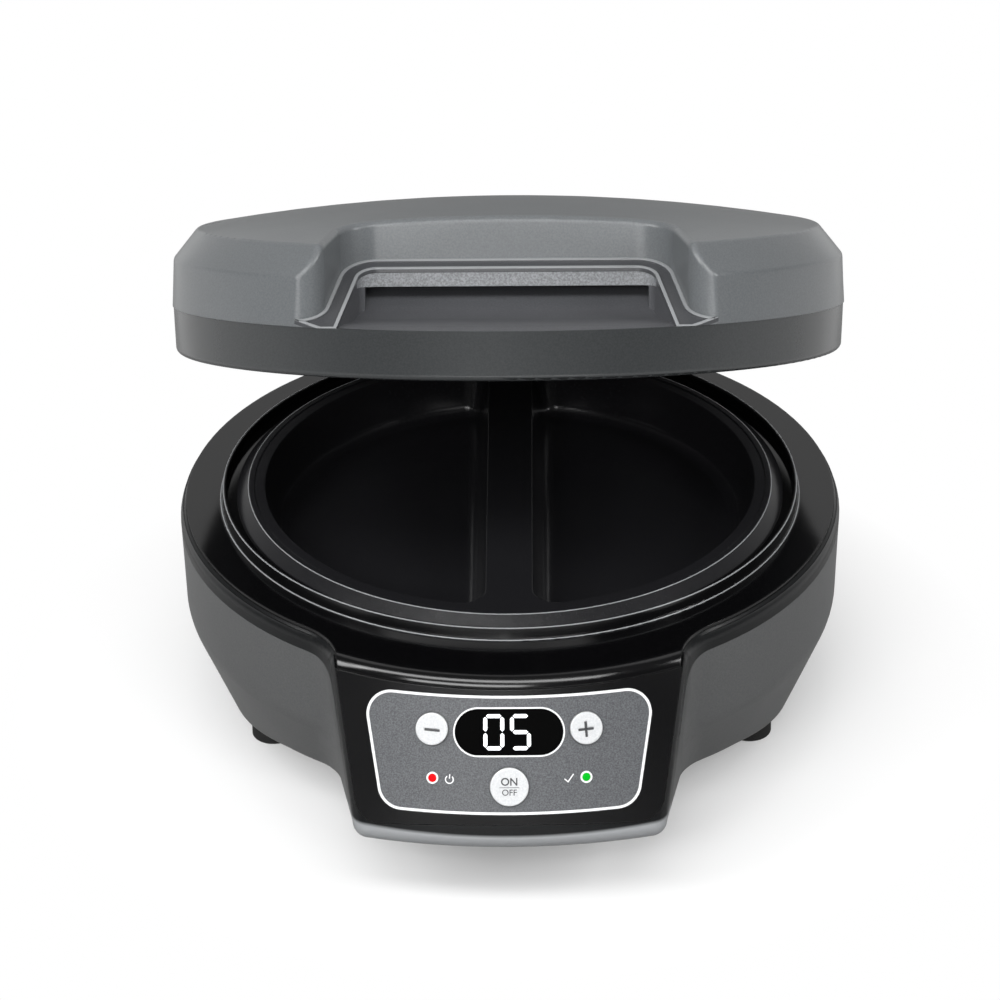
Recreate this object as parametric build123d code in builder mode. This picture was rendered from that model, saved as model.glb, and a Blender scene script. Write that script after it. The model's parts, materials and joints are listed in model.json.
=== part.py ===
from build123d import *
from math import asin, cos, hypot, radians, sin, sqrt, tan
import os

# Electric omelette maker. Millimetres, +Z up, +X to the user's right when facing
# the controls, -Y towards the user. The origin is on the table, on the axis of
# the round base. The lid stands part open, which is its rest position.

# ---------------------------------------------------------------- sizes
# Round base
foot_height = 6.0
body_height = 88.0
rim_radius = 135.0
waist_radius = 133.8
waist_drop = 44.0
underside_radius = 116.0
waist_round = 20.0
wall = 2.4
seam_gap = 0.15
band_height = 9.5
ledge_width = 9.0
tongue_depth = 8.0
tongue_thickness = 2.0

# Nose that carries the controls
nose_reach = 143.9
nose_half_width = 71.0
nose_width_station = 115.0
nose_side_angle = 9.8
nose_draft = 3.3
nose_blend = 26.0
nose_lower_round = 6.5
face_tilt = 26.0
face_length = 61.3
face_roll = 7.0
chin_round = 5.0
chin_height = 4.3
rise_start = 30.0
rise_middle = 80.0
rise_middle_height = 15.0
rise_end = 190.0
rise_end_height = 29.0
rise_round = 40.0
strip_width = 12.4
strip_lean = 28.3
strip_round = 15.0
face_margin = 2.5
face_corner_round = 10.0

# Deck round the cooking plate
deck_thickness = 2.4
deck_roll_drop = 4.9
ring_radius = 118.0
ring_height = 5.2
ring_thickness = 2.0
ring_lean = 1.0
groove_height = 0.8
deck_opening_radius = 108.0
deck_post_radius = 118.5
post_radius = 4.0
deck_post_length = 20.0
post_angles = (30, 150, 210, 330)
shelf_thickness = 3.0
shelf_width = 12.0

# Lower cooking plate
plate_rise = 5.0
plate_edge_radius = 111.6
plate_edge_height = 1.5
bead_outer_radius = 106.7
bead_inner_radius = 104.5
bead_height = 0.3
well_radius = 100.0
well_depth = 22.0
well_taper = 12.0
well_corner = 10.0
well_floor_round = 6.0
plate_thickness = 3.0
divider_width = 18.3
stud_circle = 86.0
stud_radius = 4.5
stud_length = 8.0

# Lower heater and heat shield
heater_circle = 70.0
heater_radius = 3.5
heater_arc = 330.0
heater_rib = 2.8
heater_rib_depth = 5.0
terminal_radius = 1.6
terminal_length = 12.0
sheet = 1.0
shield_floor_radius = 102.0
shield_wall_radius = 107.0
shield_flange_radius = 114.0
shield_lead_hole = 6.0

# Bottom cover, feet and cord inlet
cover_radius = 90.0
cover_nose_half_width = 46.0
cover_reach = 138.0
cover_corner = 15.0
cover_boss_radius = 84.0
cover_boss_height = 18.0
cover_boss_angles = (45, 135, 225, 315)
rib_thickness = 3.0
foot_radius = 9.0
foot_stub_radius = 3.0
front_foot = (98.0, -38.0)
rear_foot = (74.0, 74.0)
inlet_height = 40.0
inlet_slot = (8.5, 5.0)
inlet_wall = 3.6
inlet_flange = 2.6
inlet_reach = 134.0
inlet_depth = 14.0

# Control face
housing_thickness = 2.8
label_thickness = 0.8
label_top = (56.4, 4.14, 7.24)
label_bottom = (49.4, 50.74, 53.04)
label_corner = 9.6
label_line = 1.05
window_drop = 21.2
window_size = (42.7, 19.1)
window_line = 0.6
window_thickness = 2.0
digit_size = (7.9, 13.8)
digit_places = (-5.8, 4.35)
digit_stroke = 1.45
digit_gap = 0.6
digit_depth = 0.3
lit_segments = ("abcdef", "acdfg")
side_button_across = 29.4
side_button_drop = 21.24
side_button_radius = 6.3
start_button_drop = 42.14
start_button_radius = 7.45
button_proud = 1.3
button_clearance = 0.25
button_flange = 1.1
button_flange_thickness = 1.2
button_travel = 0.8
button_edge_round = 0.6
stem_radius = 2.0
mark_length = 6.0
mark_width = 0.8
mark_depth = 0.3
light_across = 29.4
light_drop = 40.0
light_radius = 1.6
light_ring_radius = 2.3
light_proud = 0.5
board_depth = 14.0
board_thickness = 1.6
board_size = (104.0, 40.0)
board_centre_drop = 30.0
board_posts = (45.0, 16.5)
board_post_radius = 3.0
switch_size = 6.0
switch_height = 3.5
switch_plunger = 1.0

# Hinge
hinge_reach = 152.0
hinge_radius = 6.5
pin_radius = 2.5
pin_fit = 0.02
hinge_running_fit = 0.05
base_knuckle = 36.0
knuckle_gap = 0.5
lid_knuckle_width = 18.0
pin_overhang = 3.0
clip_width = 1.0
clip_radius = 5.0
bracket_top_drop = 11.0
bracket_depth = 25.0
bracket_seat = 20.0

# Lid, drawn closed and then opened
lid_open_angle = 22.5
lid_gap = 1.0
skirt_radius = 134.2
skirt_top_radius = 135.1
seam_height = 19.8
skirt_round = 2.5
lid_flange_height = 6.5
lid_flange_thickness = 2.0
lid_flange_inner = 109.0
lid_wall = 2.5
cap_overhang = 0.35
shoulder_radius = 134.7
shoulder_height = 38.8
crown_radius = 125.2
crown_height = 50.6
crown_rise = 10.6
shoulder_round = 3.0
lid_boss_radius = 122.0

# Handle recess in the front of the lid
notch_back = 64.0
notch_half_width = 62.5
notch_mouth = 114.0
notch_mouth_half_width = 71.5
notch_corner = 15.0
notch_flare = 11.0
notch_lip_angle = 25.5
notch_edge_round = 2.5
bezel_back_height = 42.0
bezel_slope = 23.3
bezel_width = 7.3
bezel_thickness = 1.6
scoop_wall = 2.0
scoop_floor = 20.0
scoop_bend = 78.0
scoop_back = 54.0
scoop_back_height = 33.0
scoop_bend_radius = 40.0
grip_thickness = 2.0
grip_bottom = 31.7
grip_half_width = 55.0

# Upper cooking plate and its heater
upper_plate_gap = 0.3
upper_well_depth = 9.0
upper_well_taper = 25.0
upper_well_round = 4.0
upper_flange_radius = 114.0
upper_flange_thickness = 2.4
upper_body_radius = 103.0
upper_heater_centre = 22.0
upper_heater_circle = 55.0
lid_shield_radius = 72.0
lid_shield_height = 10.0

# Screws and small parts
screw_radius = 1.5
screw_fit = 0.05
head_radius = 3.2
head_height = 2.0
thermostat_radius = 8.0
thermostat_height = 6.0
fuse_radius = 2.0
fuse_length = 14.0
part_gap = 0.05

# ---------------------------------------------------------------- derived places
deck_z = foot_height + body_height
face_sin = sin(radians(face_tilt))
face_cos = cos(radians(face_tilt))
side_slope = tan(radians(nose_side_angle))
draft_slope = tan(radians(nose_draft))
cone_slope = (waist_radius - underside_radius) / (body_height - waist_drop)
hinge_axis = Axis((0, hinge_reach, deck_z), (1, 0, 0))
face_bottom_drop = face_length - chin_height
plate_bottom = plate_rise - well_depth - plate_thickness
shield_floor = plate_bottom - stud_length

standing = (Align.CENTER, Align.CENTER, Align.MIN)
below = (Align.CENTER, Align.CENTER, Align.MAX)

os.makedirs("parts", exist_ok=True)


# ---------------------------------------------------------------- helpers
def outline(points, radii=None, plane=Plane.XY):
    """A closed outline with straight sides and, where radii are given, rounded corners."""
    with BuildSketch(plane) as drawn:
        with BuildLine():
            if radii:
                FilletPolyline(*points, radius=radii, close=True)
            else:
                Polyline(*points, close=True)
        make_face()
    return drawn.sketch


def face_point(drop, depth=0.0):
    """Radius and height of a point of the control face, drop down the slope and depth behind it."""
    radius = nose_reach + drop * face_sin - depth * face_cos
    return radius, deck_z - drop * face_cos - depth * face_sin


def nose_half_width_at(y, z):
    """Half the width of the nose at a place on its side."""
    return nose_half_width + (y + nose_width_station) * side_slope + (z - deck_z) * draft_slope


def face_half_width(drop):
    """Half the width of the control face, where the cone of the face meets the nose's side."""
    radius, height = face_point(drop)
    half_width = nose_half_width
    for step in range(8):
        half_width = nose_half_width_at(-sqrt(radius**2 - half_width**2), height)
    return half_width


def underside_outline(raised):
    """Side view of the space below the base: flat at the rear, rising to the front."""
    flat = foot_height + raised
    beyond = 2 * rim_radius
    end_slope = (rise_end_height - rise_middle_height) / (rise_end - rise_middle)
    points = [
        (-beyond, -body_height),
        (-beyond, flat + rise_end_height + end_slope * (beyond - rise_end)),
        (-rise_middle, flat + rise_middle_height),
        (-rise_start, flat),
        (beyond, flat),
        (beyond, -body_height),
    ]
    return outline(points, [0, 0, rise_round, rise_round, 0, 0], Plane.YZ)


def round_outline(inset, above):
    """Half section of the base's round body, from below the table to above the deck."""
    top = deck_z + above
    low = -foot_height
    points = [
        (0, low),
        (underside_radius - inset - (foot_height - low) * cone_slope, low),
        (waist_radius - inset, deck_z - waist_drop),
        (rim_radius - inset, top),
        (0, top),
    ]
    return outline(points, [0, 0, waist_round, 0, 0], Plane.XZ)


def base_form(inset, above):
    """The base's outer form, drawn inset from its skin and carried up above the deck."""
    top = deck_z + above
    low = -foot_height
    corner_radius = face_point(-above / face_cos, 0)[0] - inset / face_cos
    nose_profile = outline(
        [(0, low - face_length), face_point(2 * body_height, inset), (corner_radius, top), (0, top)],
        [0, 0, 0 if above else face_roll, 0],
        Plane.XZ,
    )
    near, far = waist_drop, nose_reach + face_length
    wide = nose_half_width_at(-near, top) - inset
    narrow = nose_half_width_at(-far, top) - inset
    nose_plan = outline(
        [(-wide, -near), (wide, -near), (narrow, -far), (-narrow, -far)],
        plane=Plane.XY.offset(top),
    )
    with BuildPart() as form:
        revolve(round_outline(inset, above), axis=Axis.Z)
        extrude(nose_plan, amount=low - top, taper=nose_draft)
        corners = form.edges().filter_by(
            lambda edge: edge.center().Y < -rim_radius * 0.6
            and hypot(edge.center().X, edge.center().Y) < rim_radius + 1
            and edge.bounding_box().size.Z > wall
        )
        fillet(corners, nose_blend + inset)
        revolve(nose_profile, axis=Axis.Z, mode=Mode.INTERSECT)
        extrude(underside_outline(inset), amount=2 * rim_radius, both=True, mode=Mode.SUBTRACT)
        chin = form.edges().filter_by(
            lambda edge: abs(edge.center().X) < wall
            and edge.center().Y < -nose_reach
            and edge.center().Z < deck_z - waist_drop
        )
        fillet(chin, max(chin_round - inset, wall / 2))
        if not inset:
            lower_sides = form.edges().filter_by(
                lambda edge: abs(edge.center().X) > nose_half_width * 0.7
                and -nose_reach < edge.center().Y < -nose_width_station
                and edge.center().Z < deck_z - waist_drop
                and edge.length > face_length / 2
            )
            fillet(lower_sides, nose_lower_round)
    return form.part


def plan_prism(inset, bottom, top):
    """An upright block with the base's plan at the deck."""
    near, far = waist_drop, nose_reach + face_length
    wide = nose_half_width_at(-near, deck_z) - inset
    narrow = nose_half_width_at(-far, deck_z) - inset
    with BuildSketch(Plane.XY.offset(bottom)) as plan:
        Circle(rim_radius - inset)
        Polygon((-wide, -near), (-narrow, -far), (narrow, -far), (wide, -near), align=None)
        corners = plan.vertices().filter_by(
            lambda corner: abs(hypot(corner.X, corner.Y) - rim_radius + inset) < 0.1 and corner.Y < -near
        )
        fillet(corners, nose_blend + inset)
    with BuildPart() as prism:
        add(plan.sketch)
        extrude(amount=top - bottom)
    return prism.part


def face_plane(drop=0.0, across=0.0, depth=0.0):
    """A plane on the control face, square to the cone where it stands."""
    radius = face_point(drop)[0]
    turn = asin(across / radius)
    out_radius, height = face_point(drop, depth)
    origin = (out_radius * sin(turn), -out_radius * cos(turn), height)
    outward = (face_cos * sin(turn), -face_cos * cos(turn), face_sin)
    return Plane(origin=origin, x_dir=(cos(turn), sin(turn), 0), z_dir=outward)


def face_layer(front, back, top_drop, bottom_drop):
    """A sheet that follows the cone of the control face."""
    corners = [
        face_point(top_drop, front),
        face_point(bottom_drop, front),
        face_point(bottom_drop, back),
        face_point(top_drop, back),
    ]
    section = outline(corners, plane=Plane.XZ)
    with BuildPart() as layer:
        revolve(section, axis=Axis.Z)
    return layer.part


def cut_layer(layer, shape):
    """The part of a layer that lies under a shape drawn on the face's middle plane."""
    with BuildPart() as piece:
        extrude(shape, amount=nose_half_width / 2, both=True)
        add(layer, mode=Mode.INTERSECT)
    return piece.part


def opening_shape(inset):
    """Outline of the opening that the frame leaves for the control housing."""
    top_half = face_half_width(deck_roll_drop) - face_margin - inset
    bottom_half = face_half_width(face_bottom_drop) - face_margin - inset
    lean = (top_half - bottom_half) / (face_bottom_drop - deck_roll_drop)
    above = nose_half_width / 2
    wide = top_half + lean * (above + deck_roll_drop)
    bottom = face_bottom_drop - inset
    points = [(-wide, above), (wide, above), (bottom_half, -bottom), (-bottom_half, -bottom)]
    corner = face_corner_round - inset
    return outline(points, [0, 0, corner, corner], face_plane())


def label_shape(inset):
    """Outline of the label: bowed top and bottom, leaning sides, round corners."""
    top_x, top_side, top_middle = label_top
    bottom_x, bottom_side, bottom_middle = label_bottom
    with BuildSketch(face_plane()) as label:
        with BuildLine():
            ThreePointArc((-top_x, -top_side), (0, -top_middle), (top_x, -top_side))
            Line((top_x, -top_side), (bottom_x, -bottom_side))
            ThreePointArc((bottom_x, -bottom_side), (0, -bottom_middle), (-bottom_x, -bottom_side))
            Line((-bottom_x, -bottom_side), (-top_x, -top_side))
        make_face()
        fillet(label.vertices(), label_corner)
        if inset:
            offset(amount=-inset)
    return label.sketch


def pill_shape(inset):
    """Outline of the display window."""
    length, height = window_size
    with BuildSketch(face_plane(window_drop)) as pill:
        SlotOverall(length - 2 * inset, height - 2 * inset)
    return pill.sketch


def disc(radius, plane):
    """A round outline on a plane."""
    with BuildSketch(plane) as drawn:
        Circle(radius)
    return drawn.sketch


def sector_points(circle, angles):
    """Points on a circle at the given angles."""
    return [(circle * cos(radians(angle)), circle * sin(radians(angle))) for angle in angles]


def screw_shape(head_plane, length, shank=screw_radius):
    """Pan head screw: the head stands on the plane and the shank runs into it."""
    head = disc(head_radius, head_plane)
    stem = disc(shank, head_plane)
    recess = disc(head_radius / 3, head_plane.offset(head_height / 2))
    with BuildPart() as screw:
        extrude(head, amount=head_height)
        top_rim = screw.edges().filter_by(GeomType.CIRCLE).sort_by_distance(
            head_plane.offset(head_height).origin
        )
        fillet(top_rim[0], head_height / 3)
        extrude(stem, amount=-length)
        extrude(recess, amount=head_height, mode=Mode.SUBTRACT)
    return screw.part


def opened(part):
    """A lid part turned about the hinge from closed to the rest position."""
    return part.rotate(hinge_axis, -lid_open_angle)


def save(part, name):
    """Label a finished piece and write it."""
    part.label = name
    export_step(part, f"parts/{name}.step")


# ---------------------------------------------------------------- base mouldings
outer_form = base_form(0, 0)
inner_form = base_form(wall, wall)
middle_form = base_form(wall / 2, wall)

with BuildPart() as shell_wall:
    add(outer_form)
    add(inner_form, mode=Mode.SUBTRACT)

# The side panel lies below the band and behind the strip beside the nose.
band_drop = band_height / face_cos
band_radius = face_point(band_drop)[0]
panel_front = sqrt(band_radius**2 - face_half_width(band_drop) ** 2) - strip_width
panel_fall = deck_z - band_height + foot_height
panel_region = outline(
    [
        (2 * rim_radius, deck_z - band_height),
        (-panel_front, deck_z - band_height),
        (-panel_front - panel_fall * tan(radians(strip_lean)), -foot_height),
        (2 * rim_radius, -foot_height),
    ],
    [0, strip_round, 0, 0],
    Plane.YZ,
)


def cover_blank(gap):
    """The upright block that cuts the bottom cover out of the floor."""
    with BuildSketch(Plane.XY.offset(-foot_height)) as plan:
        Circle(cover_radius - gap)
        with Locations((0, -(cover_reach - gap) / 2)):
            Rectangle(2 * (cover_nose_half_width - gap), cover_reach - gap)
        fillet(plan.vertices().filter_by(lambda corner: corner.Y < -rim_radius / 3), cover_corner)
    with BuildPart() as blank:
        add(plan.sketch)
        extrude(amount=foot_height * 2 + rise_end_height)
    return blank.part


cover_block = cover_blank(0)
cover_slot = cover_blank(seam_gap)


def underside_height(y):
    """Height of the base's underside on its middle line, without the rounding."""
    if y > -rise_start:
        return foot_height
    run = (-y - rise_start) / (rise_middle - rise_start)
    return foot_height + rise_middle_height * run


cover_screw_places = sector_points(cover_boss_radius, cover_boss_angles)
spot_radius = head_radius + 0.8
spot_depth = 0.3


def spot_height(y):
    """Height of the flat spot that a cover screw's head sits on."""
    return underside_height(y - spot_radius) + spot_depth


with BuildPart() as bottom_cover:
    add(shell_wall.part)
    add(cover_slot, mode=Mode.INTERSECT)
    for x, y in cover_screw_places:
        with Locations((x, y, spot_height(y))):
            Cylinder(screw_radius + 0.2, 2 * body_height, mode=Mode.SUBTRACT)
            Cylinder(spot_radius, foot_height, mode=Mode.SUBTRACT, align=below)
save(bottom_cover.part, "bottom_cover")

with BuildPart() as floor_skin:
    add(shell_wall.part)
    add(cover_block, mode=Mode.INTERSECT)

# Bosses for the cover's screws, each tied to the side wall by a rib.
floor_level = foot_height + wall
with BuildPart() as cover_bosses:
    for angle, (x, y) in zip(cover_boss_angles, sector_points(cover_boss_radius, cover_boss_angles)):
        with BuildSketch(Plane.XY):
            with Locations((x, y)):
                Circle(post_radius)
            with PolarLocations((cover_boss_radius + rim_radius) / 2, 1, angle):
                Rectangle(rim_radius - cover_boss_radius, rib_thickness)
        extrude(amount=floor_level + cover_boss_height)
    add(middle_form, mode=Mode.INTERSECT)
    add(floor_skin.part, mode=Mode.SUBTRACT)

shelf_top = deck_z - deck_thickness - deck_post_length
with BuildPart() as deck_shelves:
    with BuildSketch(Plane.XY.offset(shelf_top - shelf_thickness)):
        for angle in post_angles:
            with PolarLocations((deck_post_radius + rim_radius) / 2 - post_radius / 2, 1, angle):
                Rectangle(rim_radius - deck_post_radius + post_radius, shelf_width)
    extrude(amount=shelf_thickness)
    add(middle_form, mode=Mode.INTERSECT)

inlet_plane = Plane(origin=(0, inlet_reach, inlet_height), x_dir=(-1, 0, 0), z_dir=(0, 1, 0))


def inlet_shape(grown):
    """Flat oval of the cord inlet."""
    with BuildSketch(inlet_plane) as oval:
        SlotOverall(inlet_slot[0] + 2 * grown, inlet_slot[1] + 2 * grown)
    return oval.sketch


# Flat pads inside the wall for the hinge bracket's screws.
hinge_screw_places = [
    (x, deck_z - bracket_top_drop - drop) for x in (-22.0, 22.0) for drop in (8.0, 19.0)
]
pad_face = waist_radius - 6.5


def hinge_screw_plane(x, z):
    """Where a screw head of the base bracket sits, facing into the base."""
    return Plane(origin=(x, pad_face, z), x_dir=(1, 0, 0), z_dir=(0, -1, 0))


with BuildPart() as base_shell:
    add(shell_wall.part)
    extrude(panel_region, amount=2 * rim_radius, both=True, mode=Mode.INTERSECT)
    add(cover_block, mode=Mode.SUBTRACT)
    add(cover_bosses.part)
    add(deck_shelves.part)
    for x, z in hinge_screw_places:
        pad = disc(post_radius + 1, hinge_screw_plane(x, z))
        extrude(pad, amount=-(waist_radius - pad_face) + wall)
    for x, z in hinge_screw_places:
        hole = disc(screw_radius + 0.2, hinge_screw_plane(x, z))
        extrude(hole, amount=-bracket_depth, mode=Mode.SUBTRACT)
    with Locations(*[(x, y, 0) for x, y in sector_points(cover_boss_radius, cover_boss_angles)]):
        Cylinder(
            screw_radius + screw_fit, floor_level + cover_boss_height - 1, mode=Mode.SUBTRACT,
            align=standing,
        )
    with Locations(*[(x, y, shelf_top) for x, y in sector_points(deck_post_radius, post_angles)]):
        Cylinder(screw_radius + 0.2, 4 * shelf_thickness, mode=Mode.SUBTRACT)
    feet = [front_foot, rear_foot]
    with Locations(*[(side * x, y, 0) for x, y in feet for side in (-1, 1)]):
        Cylinder(foot_stub_radius + part_gap, 4 * foot_radius, mode=Mode.SUBTRACT)
    extrude(inlet_shape(inlet_wall + part_gap), amount=-2 * inlet_depth, mode=Mode.SUBTRACT)
save(base_shell.part, "base_shell")

# ---------------------------------------------------------------- rim frame and deck
deck_inset = wall + seam_gap
ledge_outer = rim_radius - wall / 2
tongue_outer = rim_radius - wall - 4 * seam_gap
ledge_inner = rim_radius - wall - ledge_width
frame_ledge = outline(
    [
        (ledge_inner, deck_z - deck_thickness),
        (ledge_outer, deck_z - deck_thickness),
        (ledge_outer, deck_z - 2 * deck_thickness),
        (tongue_outer, deck_z - 2 * deck_thickness),
        (tongue_outer, deck_z - 2 * deck_thickness - tongue_depth),
        (tongue_outer - tongue_thickness, deck_z - 2 * deck_thickness - tongue_depth),
        (tongue_outer - tongue_thickness, deck_z - 2 * deck_thickness),
        (ledge_inner, deck_z - 2 * deck_thickness),
    ],
    plane=Plane.XZ,
)
face_opening = cut_layer(face_layer(-wall, wall + 1, -2 * wall, face_length), opening_shape(0))

with BuildPart() as rim_frame:
    add(shell_wall.part)
    extrude(panel_region, amount=2 * rim_radius, both=True, mode=Mode.SUBTRACT)
    revolve(frame_ledge, axis=Axis.Z)
    add(face_opening, mode=Mode.SUBTRACT)
save(rim_frame.part, "rim_frame")

roll_inner = nose_reach + deck_thickness * tan(radians(face_tilt)) - deck_thickness / face_cos
deck_profile = outline(
    [
        (deck_opening_radius, deck_z - deck_thickness),
        (roll_inner, deck_z - deck_thickness),
        face_point(deck_roll_drop, deck_thickness),
        face_point(deck_roll_drop),
        (nose_reach, deck_z),
        (ring_radius, deck_z),
        (ring_radius - ring_lean, deck_z + ring_height),
        (ring_radius - ring_thickness, deck_z + ring_height),
        (ring_radius - ring_thickness, deck_z + groove_height),
        (deck_opening_radius, deck_z + groove_height),
    ],
    [0, face_roll - deck_thickness, 0, 0, face_roll, 1, 0.45, 0.45, 0, 0],
    Plane.XZ,
)
with BuildPart() as top_deck:
    revolve(deck_profile, axis=Axis.Z)
    add(plan_prism(deck_inset, deck_z - nose_reach / 4, deck_z + nose_reach / 4), mode=Mode.INTERSECT)
    with Locations(*[(x, y, shelf_top) for x, y in sector_points(deck_post_radius, post_angles)]):
        Cylinder(post_radius, deck_post_length + deck_thickness / 2, align=standing)
        Cylinder(
            screw_radius + screw_fit, deck_post_length - deck_thickness, mode=Mode.SUBTRACT,
            align=standing,
        )
save(top_deck.part, "top_deck")


def joined(parts):
    """Separate solids of one kind, kept together in one node."""
    with BuildPart() as group:
        for part in parts:
            add(part)
    return group.part


down = (0, 0, -1)
save(
    joined(
        screw_shape(Plane(origin=(x, y, shelf_top - shelf_thickness), z_dir=down), deck_post_length / 2)
        for x, y in sector_points(deck_post_radius, post_angles)
    ),
    "deck_screws",
)

# ---------------------------------------------------------------- feet, cover screws, cord inlet
with BuildPart() as rubber_feet:
    for x, y in (front_foot, rear_foot):
        for side in (-1, 1):
            with BuildSketch(Plane.XY):
                with Locations((side * x, y)):
                    Circle(foot_radius)
            extrude(amount=2 * foot_radius)
    fillet(rubber_feet.edges().group_by(Axis.Z)[0], 1)
    add(outer_form, mode=Mode.SUBTRACT)
    for x, y in (front_foot, rear_foot):
        for side in (-1, 1):
            with BuildSketch(Plane.XY.offset(foot_height / 2)):
                with Locations((side * x, y)):
                    Circle(foot_stub_radius)
            extrude(amount=foot_height / 2 + 3 * wall)
save(rubber_feet.part, "rubber_feet")

save(
    joined(
        screw_shape(Plane(origin=(x, y, spot_height(y)), z_dir=down), cover_boss_height / 2)
        for x, y in cover_screw_places
    ),
    "cover_screws",
)

with BuildPart() as cord_inlet:
    extrude(inlet_shape(inlet_wall + inlet_flange), amount=-inlet_depth)
    add(outer_form, mode=Mode.SUBTRACT)
    extrude(inlet_shape(inlet_wall), amount=-inlet_depth)
    fillet(cord_inlet.edges().group_by(Axis.Y)[-1], 0.8)
    extrude(inlet_shape(0), amount=-inlet_depth, mode=Mode.SUBTRACT)
save(cord_inlet.part, "cord_inlet")

# ---------------------------------------------------------------- control face
housing_bottom = face_bottom_drop - seam_gap
housing_top = deck_roll_drop + seam_gap
housing_back = housing_thickness
label_outer = label_shape(0)
label_inner = label_shape(label_line)
button_places = {
    "button_minus": (side_button_drop, -side_button_across, side_button_radius),
    "button_plus": (side_button_drop, side_button_across, side_button_radius),
    "button_start": (start_button_drop, 0.0, start_button_radius),
}
light_places = {"power_light": -light_across, "ready_light": light_across}
board_plane = face_plane(board_centre_drop).offset(-board_depth)
half_board_x, half_board_y = board_posts
post_places = [(x, y) for x in (-half_board_x, half_board_x) for y in (-half_board_y, half_board_y)]


def sagitta(drop, across):
    """How far the cone falls behind the middle plane at this place, square to that plane."""
    radius = face_point(drop)[0]
    return (radius - sqrt(radius**2 - across**2)) * face_cos


with BuildPart() as control_housing:
    add(cut_layer(face_layer(0, housing_back, housing_top, face_length), opening_shape(seam_gap)))
    with BuildSketch(board_plane):
        with Locations(*post_places):
            Circle(board_post_radius)
    extrude(amount=board_depth)
    add(face_layer(-board_depth, housing_back / 2, -face_length, 2 * face_length), mode=Mode.SUBTRACT)
    add(cut_layer(face_layer(0, housing_back, housing_top, face_length), opening_shape(seam_gap)))
    label_recess = cut_layer(face_layer(-1, label_thickness, housing_top, face_length), label_outer)
    add(label_recess, mode=Mode.SUBTRACT)
    add(
        cut_layer(face_layer(-1, window_thickness, housing_top, face_length), pill_shape(-part_gap)),
        mode=Mode.SUBTRACT,
    )
    with BuildSketch(face_plane(window_drop)):
        Rectangle(window_size[0] * 0.7, window_size[1] * 0.8)
    extrude(amount=-board_depth * 0.7, mode=Mode.SUBTRACT)
    for drop, across, radius in button_places.values():
        hole = disc(radius + button_clearance, face_plane(drop, across))
        extrude(hole, amount=-board_depth / 2, mode=Mode.SUBTRACT)
    for across in light_places.values():
        hole = disc(light_radius + part_gap, face_plane(light_drop, across))
        extrude(hole, amount=-board_depth / 2, mode=Mode.SUBTRACT)
        ring_seat = disc(light_ring_radius + part_gap, face_plane(light_drop, across))
        extrude(ring_seat, amount=-label_thickness, mode=Mode.SUBTRACT)
    with BuildSketch(board_plane):
        with Locations(*post_places):
            Circle(screw_radius - 0.3 + screw_fit)
    extrude(amount=4, mode=Mode.SUBTRACT)
save(control_housing.part, "control_housing")

label_layer = face_layer(0, label_thickness, housing_top, face_length)
with BuildPart() as control_panel:
    add(cut_layer(label_layer, label_shape(label_line + part_gap)))
    window_hole = cut_layer(face_layer(-1, 2, housing_top, face_length), pill_shape(-part_gap))
    add(window_hole, mode=Mode.SUBTRACT)
    for drop, across, radius in button_places.values():
        hole = disc(radius + button_clearance, face_plane(drop, across))
        extrude(hole, amount=housing_back, both=True, mode=Mode.SUBTRACT)
    for across in light_places.values():
        hole = disc(light_ring_radius + part_gap, face_plane(light_drop, across))
        extrude(hole, amount=housing_back, both=True, mode=Mode.SUBTRACT)
save(control_panel.part, "control_panel")

outline_layer = face_layer(-0.1, label_thickness, housing_top, face_length)
with BuildPart() as panel_outline:
    add(cut_layer(outline_layer, label_shape(part_gap)))
    add(cut_layer(face_layer(-1, 2, housing_top - 1, face_length), label_inner), mode=Mode.SUBTRACT)
save(panel_outline.part, "panel_outline")

with BuildPart() as display_bezel:
    add(cut_layer(outline_layer, pill_shape(0)))
    add(
        cut_layer(face_layer(-1, 2, housing_top - 1, face_length), pill_shape(window_line)),
        mode=Mode.SUBTRACT,
    )
save(display_bezel.part, "display_bezel")


def digit_shape(segments, centre_x):
    """Seven-segment figure drawn with pointed strokes."""
    width, height = digit_size
    across = width / 2 - digit_stroke / 2
    up = height / 2 - digit_stroke / 2
    ends = {
        "a": ((-across, up), (across, up)),
        "b": ((across, up), (across, 0)),
        "c": ((across, 0), (across, -up)),
        "d": ((-across, -up), (across, -up)),
        "e": ((-across, 0), (-across, -up)),
        "f": ((-across, up), (-across, 0)),
        "g": ((-across, 0), (across, 0)),
    }
    half = digit_stroke / 2
    with BuildSketch(face_plane(window_drop)) as figure:
        for segment in segments:
            (x0, y0), (x1, y1) = ends[segment]
            length = abs(x1 - x0) + abs(y1 - y0) - digit_gap
            turn = 0 if y0 == y1 else 90
            with Locations(Location((centre_x + (x0 + x1) / 2, (y0 + y1) / 2, 0), turn)):
                Polygon(
                    (-length / 2, 0), (-length / 2 + half, half), (length / 2 - half, half),
                    (length / 2, 0), (length / 2 - half, -half), (-length / 2 + half, -half),
                    align=None,
                )
    return figure.sketch


digit_layer = face_layer(0, digit_depth, housing_top, face_length)
with BuildPart() as display_digits:
    for segments, centre_x in zip(lit_segments, digit_places):
        add(cut_layer(digit_layer, digit_shape(segments, centre_x)))
save(display_digits.part, "display_digits")

with BuildPart() as display_window:
    add(cut_layer(label_layer, pill_shape(window_line + part_gap)))
    add(cut_layer(face_layer(label_thickness, window_thickness, housing_top, face_length), pill_shape(0)))
    add(display_digits.part, mode=Mode.SUBTRACT)
save(display_window.part, "display_window")

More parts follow.
